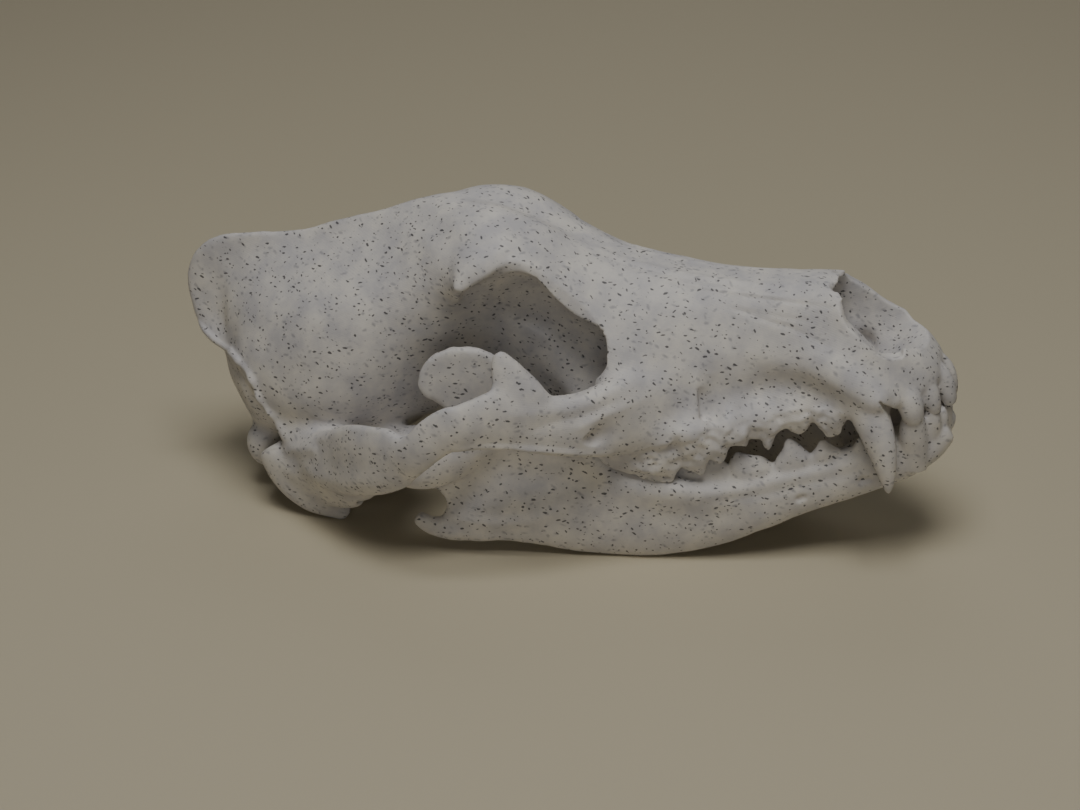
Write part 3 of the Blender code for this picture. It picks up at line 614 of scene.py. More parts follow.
# Strokes over the right side: x, y, z, half width, height, which sinks the surface where it is negative
CRANIUM_STROKES = {
    "temporal_line": [(103, -22, 81, 5, 0.4), (93, -13, 85, 5, 0.4), (80, -6, 90, 4, 0.3)],
    "brow_hollow": [
        (112, -14, 88, 8, -0.5), (124, -17, 85, 7, -0.8), (136, -18, 79, 6, -0.7),
        (145, -19, 72, 5, -0.4),
    ],
    "middle_of_forehead": [
        (112, 0, 95, 5, -0.5), (126, 0, 95, 6, -1.4), (140, 0, 86, 6, -1.2), (152, 0, 75, 5, -0.4),
    ],
    "nuchal_line": [
        (12, -17, 50.6, 1.5, 1.2), (17, -22.5, 49.4, 1.5, 1.6), (20.6, -26, 46.4, 1.4, 1),
        (22.3, -27.9, 43.1, 1.6, 1.9), (23, -28.6, 39.8, 1.3, 1), (23.4, -29, 36.6, 1.6, 1.8),
        (24.6, -29.6, 33, 1.4, 1.1), (25.8, -30.2, 29.8, 1.7, 1.5), (27, -31.6, 27, 1.8, 0.7),
        (28.4, -33, 24, 2.2, 0.8), (30.7, -34.3, 19.5, 2.6, 0.3),
    ],
    "behind_nuchal_line": [
        (13, -20.5, 45, 2.6, -0.8), (17, -25, 40, 2.8, -1.6), (18.6, -26.8, 34, 3, -1.8),
        (20.6, -28.2, 27, 3, -1.4), (23, -30, 20, 3, -0.6),
    ],
    "orbit_edge": [
        (113, -34, 71, 1.6, 0.5), (122, -30, 74.5, 1.8, 0.7), (132, -28, 76, 1.8, 0.7),
        (142, -29, 72.5, 1.8, 0.7), (151, -30, 62.5, 1.8, 0.6), (158, -31.5, 51, 1.8, 0.5),
        (161.5, -33, 42, 2, 0.4),
    ],
    "side_of_nasal_bone": [
        (156, -5, 66, 1.6, 0.3), (172, -5.5, 59, 1.3, 0.4), (187, -5.5, 53.5, 1.2, 0.4),
        (207, -6, 48, 1.1, 0.35), (222, -7, 45.5, 1, 0.2),
    ],
    "seam_of_nasal_bone": [
        (160, -7.6, 63.5, 0.9, -0.25), (174, -8, 57.5, 0.8, -0.35), (190, -8, 52, 0.8, -0.35),
        (208, -8.5, 47, 0.8, -0.3), (226, -9.5, 43.8, 0.8, -0.2),
    ],
    "edge_of_maxilla": [
        (166, -10.5, 60, 1.2, 0.35), (182, -11, 54, 1.1, 0.45), (200, -11, 48.5, 1, 0.4),
        (218, -12, 44, 1, 0.3),
    ],
    "snout_streak_high": [
        (206, -12, 45.5, 0.8, -0.15), (222, -13, 41.5, 0.8, -0.25), (235, -14.5, 38.5, 0.8, -0.15),
    ],
    "snout_streak_low": [
        (200, -15, 43, 0.9, -0.1), (215, -15.5, 38.5, 0.9, -0.22), (229, -16.5, 34.5, 0.9, -0.15),
    ],
    "front_seam": [
        (203, -14.5, 41.5, 1, -0.2), (213, -16, 37, 1.1, -0.35), (223, -17, 32, 1.1, -0.3),
        (233, -18.5, 25, 1.2, -0.15),
    ],
    "canine_swelling": [
        (249, -27, 4.5, 4, 0.6), (240, -26, 10, 4.5, 1.1), (230, -23.5, 15.5, 4.5, 1.2),
        (220, -21, 20, 5, 0.8), (210, -19.5, 25, 5, 0.4),
    ],
    "hollow_behind_canine": [
        (231, -23, 8, 4, -0.8), (221, -22.5, 12, 5, -1.5), (210, -23, 13.5, 6, -1.7),
        (199, -25.5, 14, 5.5, -0.9),
    ],
    "infraorbital_hollow": [
        (194, -26.5, 24, 3.6, -0.6), (193, -29, 18, 3.8, -1.4), (191.6, -31.5, 12, 3.8, -1),
    ],
    "infraorbital_edge": [
        (186.6, -25, 24.5, 1.5, 0.3), (185.6, -28.5, 18.5, 1.5, 0.6), (184.4, -32, 12, 1.6, 0.4),
    ],
    "cheek_ridge": [
        (128, -60, 33, 2.6, 0.3), (138, -55.5, 30.5, 2.4, 0.5), (148, -50, 28, 2.4, 0.5),
        (158, -45, 28.5, 2.6, 0.5), (167, -38, 31, 3, 0.3),
    ],
    "cheek_groove": [
        (134.5, -58.8, 25.5, 2.2, -0.3), (142.8, -54, 25.2, 2.2, -0.5), (149.3, -50.4, 24.4, 2.2, -0.5),
        (158.7, -44.7, 25, 2.4, -0.3),
    ],
    "above_malar_hollow": [
        (149, -52, 20.4, 1.8, 0.4), (155, -48.5, 21.8, 1.8, 0.5), (163, -44.5, 22.6, 2, 0.4),
        (172, -41, 23.5, 2, 0.2),
    ],
    "lower_edge_of_cheek": [
        (108, -66, 24.4, 1.5, 0.6), (118, -64, 22.6, 1.5, 1), (128, -60.5, 19, 1.5, 1.1),
        (138, -56, 14.4, 1.6, 1.1), (147, -51.5, 9, 1.8, 1), (154, -47, 4.5, 2, 0.6),
    ],
    "upper_edge_of_arch": [
        (46, -40.5, 22, 2, 0.2), (54, -46.5, 26.4, 2, 0.7), (60, -50, 28.6, 1.8, 0.3),
        (67, -54.2, 31.4, 2, 0.7), (74, -58, 33, 1.8, 0.5), (84, -62, 32.6, 1.8, 0.7),
        (90, -64.6, 31, 1.4, -0.8), (96, -65.5, 34.4, 1.8, 0.6), (108, -65, 40, 1.8, 0.6),
    ],
    "pocket_behind_shelf": [(40, -35, 24, 4, -0.6), (48, -38, 26, 4.5, -1.2), (60, -38, 30, 5, -1)],
    "lower_part_of_shelf": [
        (34, -37, 8, 6, 1), (46, -43, 8, 6.5, 2.6), (58, -50, 9, 6.5, 2.8), (70, -56.5, 12, 6, 2),
        (80, -61, 14, 5, 0.8),
    ],
    "ridge_over_ear": [(30, -34.5, 16, 2.2, 0.7), (38, -38.5, 18, 2.4, 0.9), (45, -42, 19.5, 2.4, 0.7)],
    "socket_of_premolar_2": [(212, -24.6, 3, 1.5, -0.5), (212, -24, 8, 1.8, -0.4)],
    "socket_of_premolar_3": [(199, -28.6, 4, 1.6, -0.7), (199.6, -27.6, 9, 2, -0.5)],
    "swelling_of_premolar_3": [(206, -26.6, 3, 2.4, 0.5), (206, -25, 9, 2.4, 0.4)],
    "front_root_of_carnassial": [(194.6, -32, 4, 2.6, 0.6), (194, -29.5, 10, 2.6, 0.5)],
    "between_roots_of_carnassial": [(188.6, -34.2, 2.5, 1.8, -0.9), (189.4, -33, 7, 1.8, -0.6)],
    "rear_root_of_carnassial": [(182.6, -36.6, 3, 2.8, 0.6), (183, -35, 9, 2.8, 0.4)],
    "before_molar_1": [(176.4, -38.2, 1, 1.6, -1), (177.6, -38, 5, 1.8, -0.7)],
    "before_molar_2": [(158.6, -41, 2, 1.6, -0.3), (159, -41.6, 5, 1.8, -0.3)],
    "lump_of_molar_1": [
        (157, -40, -1.4, 2, 0.3), (162, -39.6, -5, 2.5, 0.9), (167.4, -39.2, -6, 2.2, 0.9),
        (171, -38.6, -4, 1.8, 0.4),
    ],
    "under_lump_of_molar_1": [
        (161, -40.6, -8.2, 1.1, -0.8), (165.5, -40.5, -10, 1.2, -1.4), (169.4, -40, -11, 1.3, -1.5),
        (171, -39.6, -12.6, 1, -0.8),
    ],
    "corner_behind_crest": [
        (13, -4.4, 80, 4.5, 0.4), (14, -8.4, 67.8, 4.5, 0.9), (13, -10.8, 61, 4, 0.9),
        (12.6, -12.4, 56, 3.5, 0.5),
    ],
}
JAW_STROKES = {
    "masseter_hollow": [
        (98, -46, -4, 6, -0.8), (108, -44.5, 4, 8, -1.4), (120, -42, 2, 8, -1.2),
        (130, -39.5, -6, 6, -0.5),
    ],
    "beside_the_molars": [
        (150, -36, -9, 6, 1.2), (160, -34.5, -13.5, 6, 2.4), (171, -33, -17.5, 6, 2.8),
        (182, -31.5, -21, 5, 2), (192, -29.5, -23, 5, 0.8),
    ],
    "masseter_ridge": [
        (92, -46, -12, 2.4, 0.5), (106, -44.5, -17, 2.6, 0.6), (122, -41.5, -18, 2.6, 0.5),
        (136, -38.5, -14, 2.6, 0.3),
    ],
    "lower_border": [
        (98, -44.5, -23, 2.4, 0.4), (130, -37, -33.5, 2.6, 0.5), (160, -31, -40.5, 2.6, 0.5),
        (190, -25.5, -40.5, 2.6, 0.4),
    ],
    "below_gum": [
        (180, -30, -23.5, 1.8, -0.2), (200, -27, -25.5, 1.8, -0.3), (220, -21.5, -25, 1.8, -0.3),
        (238, -17, -24, 1.8, -0.2),
    ],
    "along_gum": [
        (170, -32, -17, 1.8, 0.3), (190, -29, -21.4, 1.8, 0.35), (210, -24.4, -21.5, 1.8, 0.3),
        (232, -18.5, -21, 1.8, 0.25),
    ],
    "front_hole": [(236, -19, -28, 1.5, -1.4), (238, -18.6, -28, 1.4, -1)],
    "rear_hole": [(213, -24, -30, 1.2, -1.1), (214.4, -23.6, -30, 1.2, -0.7)],
}
# Waves of slight unevenness over the whole bone: length and depth in millimetres
UNEVENNESS = ((14, 0.3), (5, 0.12))
# Those of the knobbly tooth row, and the space that it takes up, laid out as the spaces below
TOOTH_ROW_WAVES = ((3.2, 0.7), (1.9, 0.3))
TOOTH_ROW = ((146, 20, -14, 236, 60, 6), 3)
# Spaces in which the surface is softened more: the lowest x, distance from the middle and z, then the
# highest, with the margin over which that fades. They are the gums, where crowns and bone run together, the
# inside of the orbit and its pocket, the bone behind the brow, before the infraorbital and the malar hollow,
# the inside of the nose, and the bone round the jaw joint
GUM_BAND = ((140, 0, -5, 400, 80, 6.5), 2)
ORBIT_INSIDE = ((106, 0, 16, 172, 23.5, 70), 3)
ORBIT_POCKET = ((128, 0, 16, 172, 31, 36), 3)
BEHIND_BROW = ((72, 8, 50, 110, 44, 92), 6)
BEFORE_INFRAORBITAL = ((188, 18, 2, 208, 40, 32), 3)
BEFORE_MALAR = ((151.5, 36, 4, 178, 60, 24), 3.5)
INSIDE_NOSE = ((226, 0, 3, 252, 16.5, 21), 2.5)
ROUND_THE_JOINT = ((70, 30, -10, 120, 70, 28), 5)
SOFT_SPACES = (
    (ORBIT_INSIDE, 90),
    (ORBIT_POCKET, 60),
    (BEHIND_BROW, 220),
    (BEFORE_INFRAORBITAL, 110),
    (BEFORE_MALAR, 130),
    (INSIDE_NOSE, 70),
)
# Rounds of softening and then of filling creases, at each stage
CORE_ROUNDS = (4, 20)
CRANIUM_ROUNDS = (3, 24)
CRANIUM_WITH_TEETH_ROUNDS = (3, 0)
JAW_ROUNDS = (3, 20)
JAW_WITH_TEETH_ROUNDS = (3, 10)
GUM_FILLS = 14
JOINT_ROUNDS = 90
# How far a point goes towards its neighbours in a round of each kind, and how often directions are read again
SOFTENING_STEP = 0.5
FILLING_STEP = 0.6
ROUNDS_PER_DIRECTION = 4

# A stroke's reach in half widths, the margin round it in millimetres, and how far a face must turn its way
STROKE_REACH = 3
STROKE_MARGIN = 4
LEAST_FACING = 0.1

# What is taken off the right half of the jaw past the middle, which leaves half of a 0.3 mm gap
PAST_MIDLINE = ((200, -0.15, -60), (300, 30, 20))

# A crown's half width at heights from the gum to the biting edge
CROWN_SWELL = ((0, 1), (0.3, 0.98), (0.62, 0.72), (0.86, 0.42), (1, 0.14))

# Where the photograph was taken from, in metres and degrees, seen from the skull's middle
PHOTO_WIDTH = 1080
FOCAL_PIXELS = 2300.0
SENSOR_WIDTH = 36.0
SKULL_MIDDLE = (135, 0, 30)
CAMERA_ROUND = math.radians(12.5)
CAMERA_ABOVE = math.radians(28.06)
CAMERA_AWAY = 0.843
CAMERA_ASIDE = (0.0102, 0.0225)

# Flecks: spacing and half sizes in millimetres, the share of places that hold one, how blurred the edge is
SHARP_FLECKS = (1.8, (1.05, 0.36, 0.39), 0.74, 0.45)
SUNKEN_FLECKS = (2.5, (2.3, 0.7, 0.72), 0.9, 1.1)
# How dark each kind is, how its sizes range, and how far a fleck turns in its layer and leans, in radians
SHARP_STRENGTH = 0.86
SUNKEN_STRENGTH = 0.6
FLECK_SIZES = (0.45, 1.3)
FLECK_TURN = 1.0
FLECK_LEAN = 0.6
# How far the layers and flecks stray from true, and the height at which the layers are drawn, in millimetres
WOBBLE = 0.7
LAYER_HEIGHT = 0.7

# The stage: half the floor's width in metres, the strength of the dim room light, then each lamp's place and
# size in metres and its power in watts
FLOOR_HALF = 3
ROOM_STRENGTH = 0.04
LAMPS = {
    "key_light": ((0.08, -0.36, 1.25), 0.6, 8.4),
    "fill_light": ((0.25, -1.15, 0.42), 0.65, 1.3),
    "back_light": ((-0.1, 0.95, 0.85), 0.8, 1.2),
}


def smooth_rows(rows, steps):
    """The rows and those between them, on a smooth curve through them."""
    rows = np.asarray(rows, float)
    lengths = np.linalg.norm(np.diff(rows[:, : min(3, rows.shape[1])], axis=0), axis=1)
    at = np.concatenate([[0], np.cumsum(lengths)])
    slopes = np.gradient(rows, at, axis=0)
    found = []
    for i, span in enumerate(lengths):
        for t in np.arange(steps) / steps:
            start = (1 + 2 * t) * (1 - t) ** 2 * rows[i] + t * (1 - t) ** 2 * span * slopes[i]
            end = t * t * (3 - 2 * t) * rows[i + 1] + t * t * (t - 1) * span * slopes[i + 1]
            found.append(start + end)
    found.append(rows[-1])
    return np.array(found)


def closed_curve(points, steps):
    """A smooth closed curve through the points."""
    points = np.asarray(points, float)
    found = []
    for i in range(len(points)):
        a, b, c, d = (points[(i + k) % len(points)] for k in (-1, 0, 1, 2))
        for t in np.arange(steps) / steps:
            bend = (2 * a - 5 * b + 4 * c - d) * t + (3 * b - a - 3 * c + d) * t * t
            found.append(b + 0.5 * t * (c - a + bend))
    return np.array(found)


def linked(name, data):
    """An object that holds the data, put in the scene."""
    made = bpy.data.objects.new(name, data)
    bpy.context.collection.objects.link(made)
    return made


def mesh_of(name, build):
    """A mesh of what has been built."""
    mesh = bpy.data.meshes.new(name)
    build.to_mesh(mesh)
    build.free()
    return mesh


def object_of(name, points, faces):
    """A mesh object from points in millimetres, its faces turned outwards."""
    mesh = bpy.data.meshes.new(name)
    mesh.from_pydata([Vector(p) * MM for p in points], [], faces)
    build = bmesh.new()
    build.from_mesh(mesh)
    bmesh.ops.recalc_face_normals(build, faces=build.faces)
    build.to_mesh(mesh)
    build.free()
    return linked(name, mesh)


def skin_of_rings(name, rings):
    """A closed skin over rings of equal count, with a fan at each end."""
    count = len(rings[0])
    points = [point for ring in rings for point in ring]
    faces = []
    for i in range(len(rings) - 1):
        for k in range(count):
            near, far = i * count, (i + 1) * count
            faces.append((near + k, near + (k + 1) % count, far + (k + 1) % count, far + k))
    for ring, start in ((rings[0], 0), (rings[-1], (len(rings) - 1) * count)):
        points.append(np.mean(ring, axis=0))
        faces += [(start + k, start + (k + 1) % count, len(points) - 1) for k in range(count)]
    return object_of(name, points, faces)


def sections_skin(name, rows, steps=8, ring_steps=8):
    """The cranium's core: a skin over cross-sections that are alike left and right."""
    rings = []
    for x, low, high, *widths in smooth_rows(rows, steps):
        side = [(w, low + (high - low) * h) for w, h in zip(widths, RING_HEIGHTS)]
        outline = [(0, low), *side, (0, high), *[(-w, z) for w, z in reversed(side)]]
        rings.append([(x, y, z) for y, z in closed_curve(outline, ring_steps)])
    return skin_of_rings(name, rings)


def bar(name, rows, up=(0, 0, 1), steps=8, sides=28, corner=1.0):
    """A bent bar along x, y, z with a half thickness across and a half height along up."""
    rows = smooth_rows(rows, steps)
    path = rows[:, :3]
    tangents = np.gradient(path, axis=0)
    rings = []
    for place, tangent, (wide, tall) in zip(path, tangents, rows[:, 3:5]):
        ahead = Vector(tangent).normalized()
        across = ahead.cross(Vector(up)).normalized()
        above = across.cross(ahead).normalized()
        ring = []
        for turn in np.arange(sides) * 2 * math.pi / sides:
            c, s = math.cos(turn), math.sin(turn)
            a = math.copysign(abs(c) ** corner, c) * wide
            b = math.copysign(abs(s) ** corner, s) * tall
            ring.append(np.array(Vector(place) + across * a + above * b))
        rings.append(ring)
    return skin_of_rings(name, rings)


def ball(name, centre, halves, segments=64):
    """An ellipsoid."""
    build = bmesh.new()
    bmesh.ops.create_uvsphere(build, u_segments=segments, v_segments=segments // 2, radius=1)
    place = Matrix.Translation(Vector(centre) * MM) @ Matrix.Diagonal((*(h * MM for h in halves), 1))
    bmesh.ops.transform(build, matrix=place, verts=build.verts)
    return linked(name, mesh_of(name, build))


def block(name, low, high):
    """A box between two corners, in millimetres."""
    corners = [(x, y, z) for x in (low[0], high[0]) for y in (low[1], high[1]) for z in (low[2], high[2])]
    faces = [(0, 1, 3, 2), (4, 6, 7, 5), (0, 4, 5, 1), (2, 3, 7, 6), (0, 2, 6, 4), (1, 5, 7, 3)]
    return object_of(name, corners, faces)


def crest_plate():
    """The sagittal crest: a thin upright plate, thick where it grows from the braincase."""
    rings = []
    for x, top, half in smooth_rows(CREST, steps=6):
        root = CREST_ROOT_Z
        mid = 0.5 * (root + top)
        side = [
            (half + CREST_ROOT_EXTRA, root),
            (half + CREST_MIDDLE_EXTRA, mid),
            (half, top - CREST_EDGE_DROP),
            (CREST_EDGE_SHARE * half, top),
        ]
        rings.append([(x, y, z) for y, z in side + [(-y, z) for y, z in reversed(side)]])
    return skin_of_rings("crest", rings)


def ramus_y(x, z):
    """Where the middle of the jaw's upright plate lies at a place along and up it."""
    return RAMUS_FRONT_Y - RAMUS_SPREAD * (RAMUS_FRONT_X - x) / RAMUS_LENGTH + RAMUS_TILT * z


def ramus_plate():
    """The upright plate of the right half of the jaw, which leans out towards the back."""
    outline = closed_curve(RAMUS, steps=6)
    points = []
    for face in (-0.5, 0.5):
        for x, z in outline:
            points.append((x, ramus_y(x, z) + face * RAMUS_THICK, z))
    count = len(outline)
    faces = [(k, (k + 1) % count, count + (k + 1) % count, count + k) for k in range(count)]
    faces.append(tuple(range(count)))
    faces.append(tuple(range(count, 2 * count)))
    return object_of("ramus", points, faces)


def crown(name, rows):
    """A cheek tooth: an upright blade whose biting edge rises and falls in blunt cusps."""
    rings = []
    for x, y, gum, edge, wide in smooth_rows(rows, steps=4):
        root = gum + math.copysign(ROOT_DEPTH, gum - edge)
        side = [(0.8 * wide, root)]
        side += [(wide * swell, gum + (edge - gum) * height) for height, swell in CROWN_SWELL]
        rings.append([(x, y + w, z) for w, z in side + [(-w, z) for w, z in reversed(side)]])
    return skin_of_rings(name, rings)


def mirrored(item):
    """A copy on the animal's other side."""
    copy = linked(item.name + "_l", item.data.copy())
    build = bmesh.new()
    build.from_mesh(copy.data)
    bmesh.ops.scale(build, vec=(1, -1, 1), verts=build.verts)
    bmesh.ops.reverse_faces(build, faces=build.faces)
    build.to_mesh(copy.data)
    build.free()
    return copy


def both_sides(items):
    """The items and their copies on the animal's other side."""
    return items + [mirrored(item) for item in items]


def applied(item):
    """Puts the modifiers' result in the object's own mesh."""
    graph = bpy.context.evaluated_depsgraph_get()
    mesh = bpy.data.meshes.new_from_object(item.evaluated_get(graph))
    item.modifiers.clear()
    item.data = mesh
    return item


def joined(name, items):
    """One object that holds the meshes of all the items."""
    build = bmesh.new()
    for item in items:
        build.from_mesh(item.data)
        bpy.data.objects.remove(item)
    return linked(name, mesh_of(name, build))


def rebuilt(item, grain):
    """The outer skin of overlapping shapes, made of even small faces."""
    remesh = item.modifiers.new("rebuild", "REMESH")
    remesh.mode = "VOXEL"
    remesh.voxel_size = grain * MM
    return applied(item)


def cut_away(item, hollows):
    """Takes the hollows' shapes out of the item."""
    group = bpy.data.collections.new("hollows")
    for hollow in hollows:
        group.objects.link(hollow)
    cut = item.modifiers.new("cut", "BOOLEAN")
    cut.operation = "DIFFERENCE"
    cut.solver = "MANIFOLD"
    cut.operand_type = "COLLECTION"
    cut.collection = group
    applied(item)
    for hollow in hollows:
        bpy.data.objects.remove(hollow)
    bpy.data.collections.remove(group)
    return item


def read_points(item):
    """The mesh's points in millimetres, and its outward directions."""
    mesh = item.data
    points = np.empty(len(mesh.vertices) * 3, np.float32)
    mesh.vertices.foreach_get("co", points)
    outward = np.empty(len(mesh.vertices) * 3, np.float32)
    mesh.vertex_normals.foreach_get("vector", outward)
    return points.reshape(-1, 3).astype(float) / MM, outward.reshape(-1, 3).astype(float)


def write_points(item, points):
    """Puts the points, in millimetres, back in the mesh."""
    item.data.vertices.foreach_set("co", (points * MM).astype(np.float32).ravel())
    item.data.update()


def edges_of(item):
    """The two points of each edge."""
    ends = np.empty(len(item.data.edges) * 2, np.int32)
    item.data.edges.foreach_get("vertices", ends)
    return ends.reshape(-1, 2)


def towards_neighbours(points, ends):
    """From each point to the mean of those next to it."""
    near, far = np.concatenate([ends, ends[:, ::-1]]).T
    count = np.maximum(np.bincount(near, minlength=len(points)), 1)
    sums = [np.bincount(near, weights=points[far, k], minlength=len(points)) for k in range(3)]
    return np.stack(sums, 1) / count[:, None] - points


def smoothed(item, rounds, fills=0, share=None):
    """Softens the mesh by rounds, then fills only its creases, which gives bone its broad blends."""
    ends = edges_of(item)
    points, _ = read_points(item)
    if share is None:
        share = np.ones(len(points))
    else:
        ends = ends[(share[ends] > 0).any(axis=1)]
    for _ in range(rounds):
        points += SOFTENING_STEP * share[:, None] * towards_neighbours(points, ends)
    write_points(item, points)
    for turn in range(fills):
        if turn % ROUNDS_PER_DIRECTION == 0:
            write_points(item, points)
            _, outward = read_points(item)
        move = towards_neighbours(points, ends)
        out = np.einsum("ij,ij->i", move, outward)
        keep = np.where(out > 0, FILLING_STEP, 0.0) * share
        points += keep[:, None] * move
    write_points(item, points)
    return item


def band(item, space):
    """How far each point lies in a space on either side of the skull, from 0 outside to 1."""
    limits, margin = space
    points, _ = read_points(item)
    points[:, 1] = np.abs(points[:, 1])
    inside = np.minimum(points - limits[:3], np.array(limits[3:]) - points).min(axis=1)
    return (inside / margin).clip(0, 1)


def nearest(points, place):
    """The mesh point nearest to a place."""
    return int(np.argmin(((points - place) ** 2).sum(axis=1)))


def stroked(item, strokes):
    """Raises ridges and sinks grooves along the strokes, on both sides of the skull."""
    points, outward = read_points(item)
    move = np.zeros(len(points))
    for rows in strokes.values():
        rows = smooth_rows(rows, steps=5)
        for side in (1, -1):
            places = rows[:, :3] * (1, side, 1)
            if places[:, 1].min() > points[:, 1].max() or places[:, 1].max() < points[:, 1].min():
                continue
            reach = STROKE_REACH * rows[:, 3].max()
            low = places.min(axis=0) - reach - STROKE_MARGIN
            high = places.max(axis=0) + reach + STROKE_MARGIN
            near = np.flatnonzero(((points > low) & (points < high)).all(axis=1))
            if not len(near):
                continue
            marks = near[[nearest(points[near], place) for place in places]]
            move[near] += bump_along(points[near], outward[near], points[marks], outward[marks], rows)
    write_points(item, points + move[:, None] * outward)
    return item


def bump_along(points, outward, path, facing, rows):
    """How far each point moves for one stroke whose path lies on the surface."""
    path = np.concatenate([path[:1], (path[:-2] + 2 * path[1:-1] + path[2:]) / 4, path[-1:]])
    best = np.full(len(points), 1e9)
    height = np.zeros(len(points))
    for i in range(len(path) - 1):
        span = path[i + 1] - path[i]
        t = ((points - path[i]) @ span / max(span @ span, 1e-9)).clip(0, 1)
        away = points - path[i] - t[:, None] * span
        wide = rows[i, 3] + t * (rows[i + 1, 3] - rows[i, 3])
        tall = rows[i, 4] + t * (rows[i + 1, 4] - rows[i, 4])
        gap = np.sqrt((away**2).sum(axis=1)) / wide
        turned = outward @ facing[i]
        closer = gap < best
        best = np.where(closer, gap, best)
        height = np.where(closer, tall * np.exp(-gap * gap) * (turned > LEAST_FACING), height)
    return height


def uneven(item, waves, share=None):
    """A slight waviness, as real bone has, over all of it or where the share says."""
    points, outward = read_points(item)
    depth = np.zeros(len(points))
    chosen = np.arange(len(points)) if share is None else np.flatnonzero(share)
    for length, amount in waves:
        depth[chosen] += [amount * noise.noise(Vector(points[i] / length)) for i in chosen]
    if share is not None:
        depth *= share
    write_points(item, points + depth[:, None] * outward)
    return item


def orbit_hollow():
    """The eye socket's hollow, whose mouth has the orbit's outline."""
    middle = np.array(ORBIT_MIDDLE)
    outline = closed_curve(ORBIT_RIM, steps=5)
    rings = []
    for y, ahead, up, size in ORBIT_DEPTHS:
        ring = middle + (outline - middle) * size + (ahead, up)
        rings.append([(x, y, z) for x, z in ring])
    return skin_of_rings("orbit", rings)


def nose_rims():
    """The thin rims at the sides of the nose opening."""
    left = [(x, -y, z + LEFT_RIM_RAISE, thick, tall) for x, y, z, thick, tall in NOSE_RIM]
    return [bar("rim_right", NOSE_RIM), bar("rim_left", left)]


def cranium():
    """The skull without the lower jaw, in one piece with its teeth."""
    core = [sections_skin("core", CRANIUM), crest_plate(), *nose_rims()]
    core += both_sides(
        [
            bar("nuchal", NUCHAL, up=(-1, -0.5, 0.1)),
            bar("gum", UPPER_GUM),
            bar("canine_root", CANINE_ROOT),
        ]
    )
    bone = smoothed(rebuilt(joined("core", core), BLEND_GRAIN), *CORE_ROUNDS)
    right = [
        bar("arch", CHEEK_ARCH),
        bar("jugal_prong", JUGAL_PRONG, up=(0.9, 0.45, 0)),
        bar("brow_prong", BROW_PRONG, up=(1, 0, 0)),
        bar("brow_rear", BROW_REAR),
        bar("paraoccipital", PARAOCCIPITAL, up=(1, 0, 0)),
        bar("mastoid", MASTOID),
        bar("squamosal_root", SQUAMOSAL_ROOT),
        bar("glenoid_shelf", GLENOID_SHELF),
        bar("postglenoid", POSTGLENOID),
        bar("pterygoid", PTERYGOID),
        ball("condyle", *CONDYLE),
        ball("bulla", *BULLA),
    ]
    bone = rebuilt(joined("cranium", [bone] + both_sides(right)), BLEND_GRAIN)
    smoothed(bone, *CRANIUM_ROUNDS)
    hollows = both_sides(
        [
            orbit_hollow(),
            bar("orbit_floor", ORBIT_FLOOR),
            bar("malar", MALAR_FOSSA),
            bar("infraorbital", INFRAORBITAL),
            bar("ear_hole", EAR_HOLE),
            ball("nasal_notch", *NASAL_NOTCH),
            ball("nasal_pocket", *NASAL_POCKET),
        ]
    )
    hollows += [
        bar("nose", NASAL_HOLLOW, corner=0.8),
        bar("nose_depth", NASAL_DEPTH),
        bar("nose_slope", NOSE_SLOPE, corner=0.8),
        bar("nose_slope_left", NOSE_SLOPE_LEFT, corner=0.8),
        ball("foramen", *FORAMEN_MAGNUM),
        bar("choana", CHOANA),
        bar("palate", PALATE_HOLLOW),
    ]
    cut_away(rebuilt(bone, BONE_GRAIN), hollows)
    fine = both_sides([bar("nuchal_rim", NUCHAL_RIM), *teeth(UPPER_CROWNS, UPPER_FRONT)])
    bone = rebuilt(joined("cranium", [bone] + fine), FINE_GRAIN)
    smoothed(bone, *CRANIUM_WITH_TEETH_ROUNDS)
    smoothed(bone, 0, GUM_FILLS, band(bone, GUM_BAND))
    for space, rounds in SOFT_SPACES:
        smoothed(bone, rounds, 0, band(bone, space))
    gaps = both_sides([bar("canine_gap", CANINE_GAP, up=(1, 0, 0))])
    uneven(stroked(bone, CRANIUM_STROKES), UNEVENNESS)
    uneven(bone, TOOTH_ROW_WAVES, band(bone, TOOTH_ROW))
    return cut_away(bone, gaps)


def jaw():
    """The right half of the lower jaw, with its teeth."""
    shapes = [
        bar("body", JAW_BODY, corner=0.8),
        bar("gum", JAW_GUM),
        bar("symphysis", SYMPHYSIS),
        ramus_plate(),
        bar("ramus_front", RAMUS_FRONT, up=(1, 0, 0.5)),
        bar("joint", JAW_JOINT),
        bar("angle", JAW_ANGLE),
    ]
    bone = smoothed(rebuilt(joined("jaw_right", shapes), BLEND_GRAIN), *JAW_ROUNDS)
    bone = rebuilt(joined("jaw_right", [bone] + teeth(LOWER_CROWNS, LOWER_FRONT)), FINE_GRAIN)
    smoothed(bone, *JAW_WITH_TEETH_ROUNDS)
    smoothed(bone, JOINT_ROUNDS, 0, band(bone, ROUND_THE_JOINT))
    stroked(bone, JAW_STROKES)
    uneven(bone, UNEVENNESS)
    return cut_away(bone, [block("midline", *PAST_MIDLINE)])


def teeth(crowns, fronts):
    """The shapes of one side's teeth."""
    items = [crown(name, rows) for name, rows in crowns.items()]
    return items + [bar(name, rows, up=(1, 0, 0)) for name, rows in fronts.items()]


def thinned(item, triangles):
    """Fewer faces, in triangles."""
    item.modifiers.new("triangles", "TRIANGULATE").quad_method = "SHORTEST_DIAGONAL"
    applied(item)
    ratio = triangles / len(item.data.polygons)
    if ratio < 1:
        item.modifiers.new("thin", "DECIMATE").ratio = ratio
        applied(item)
    return item


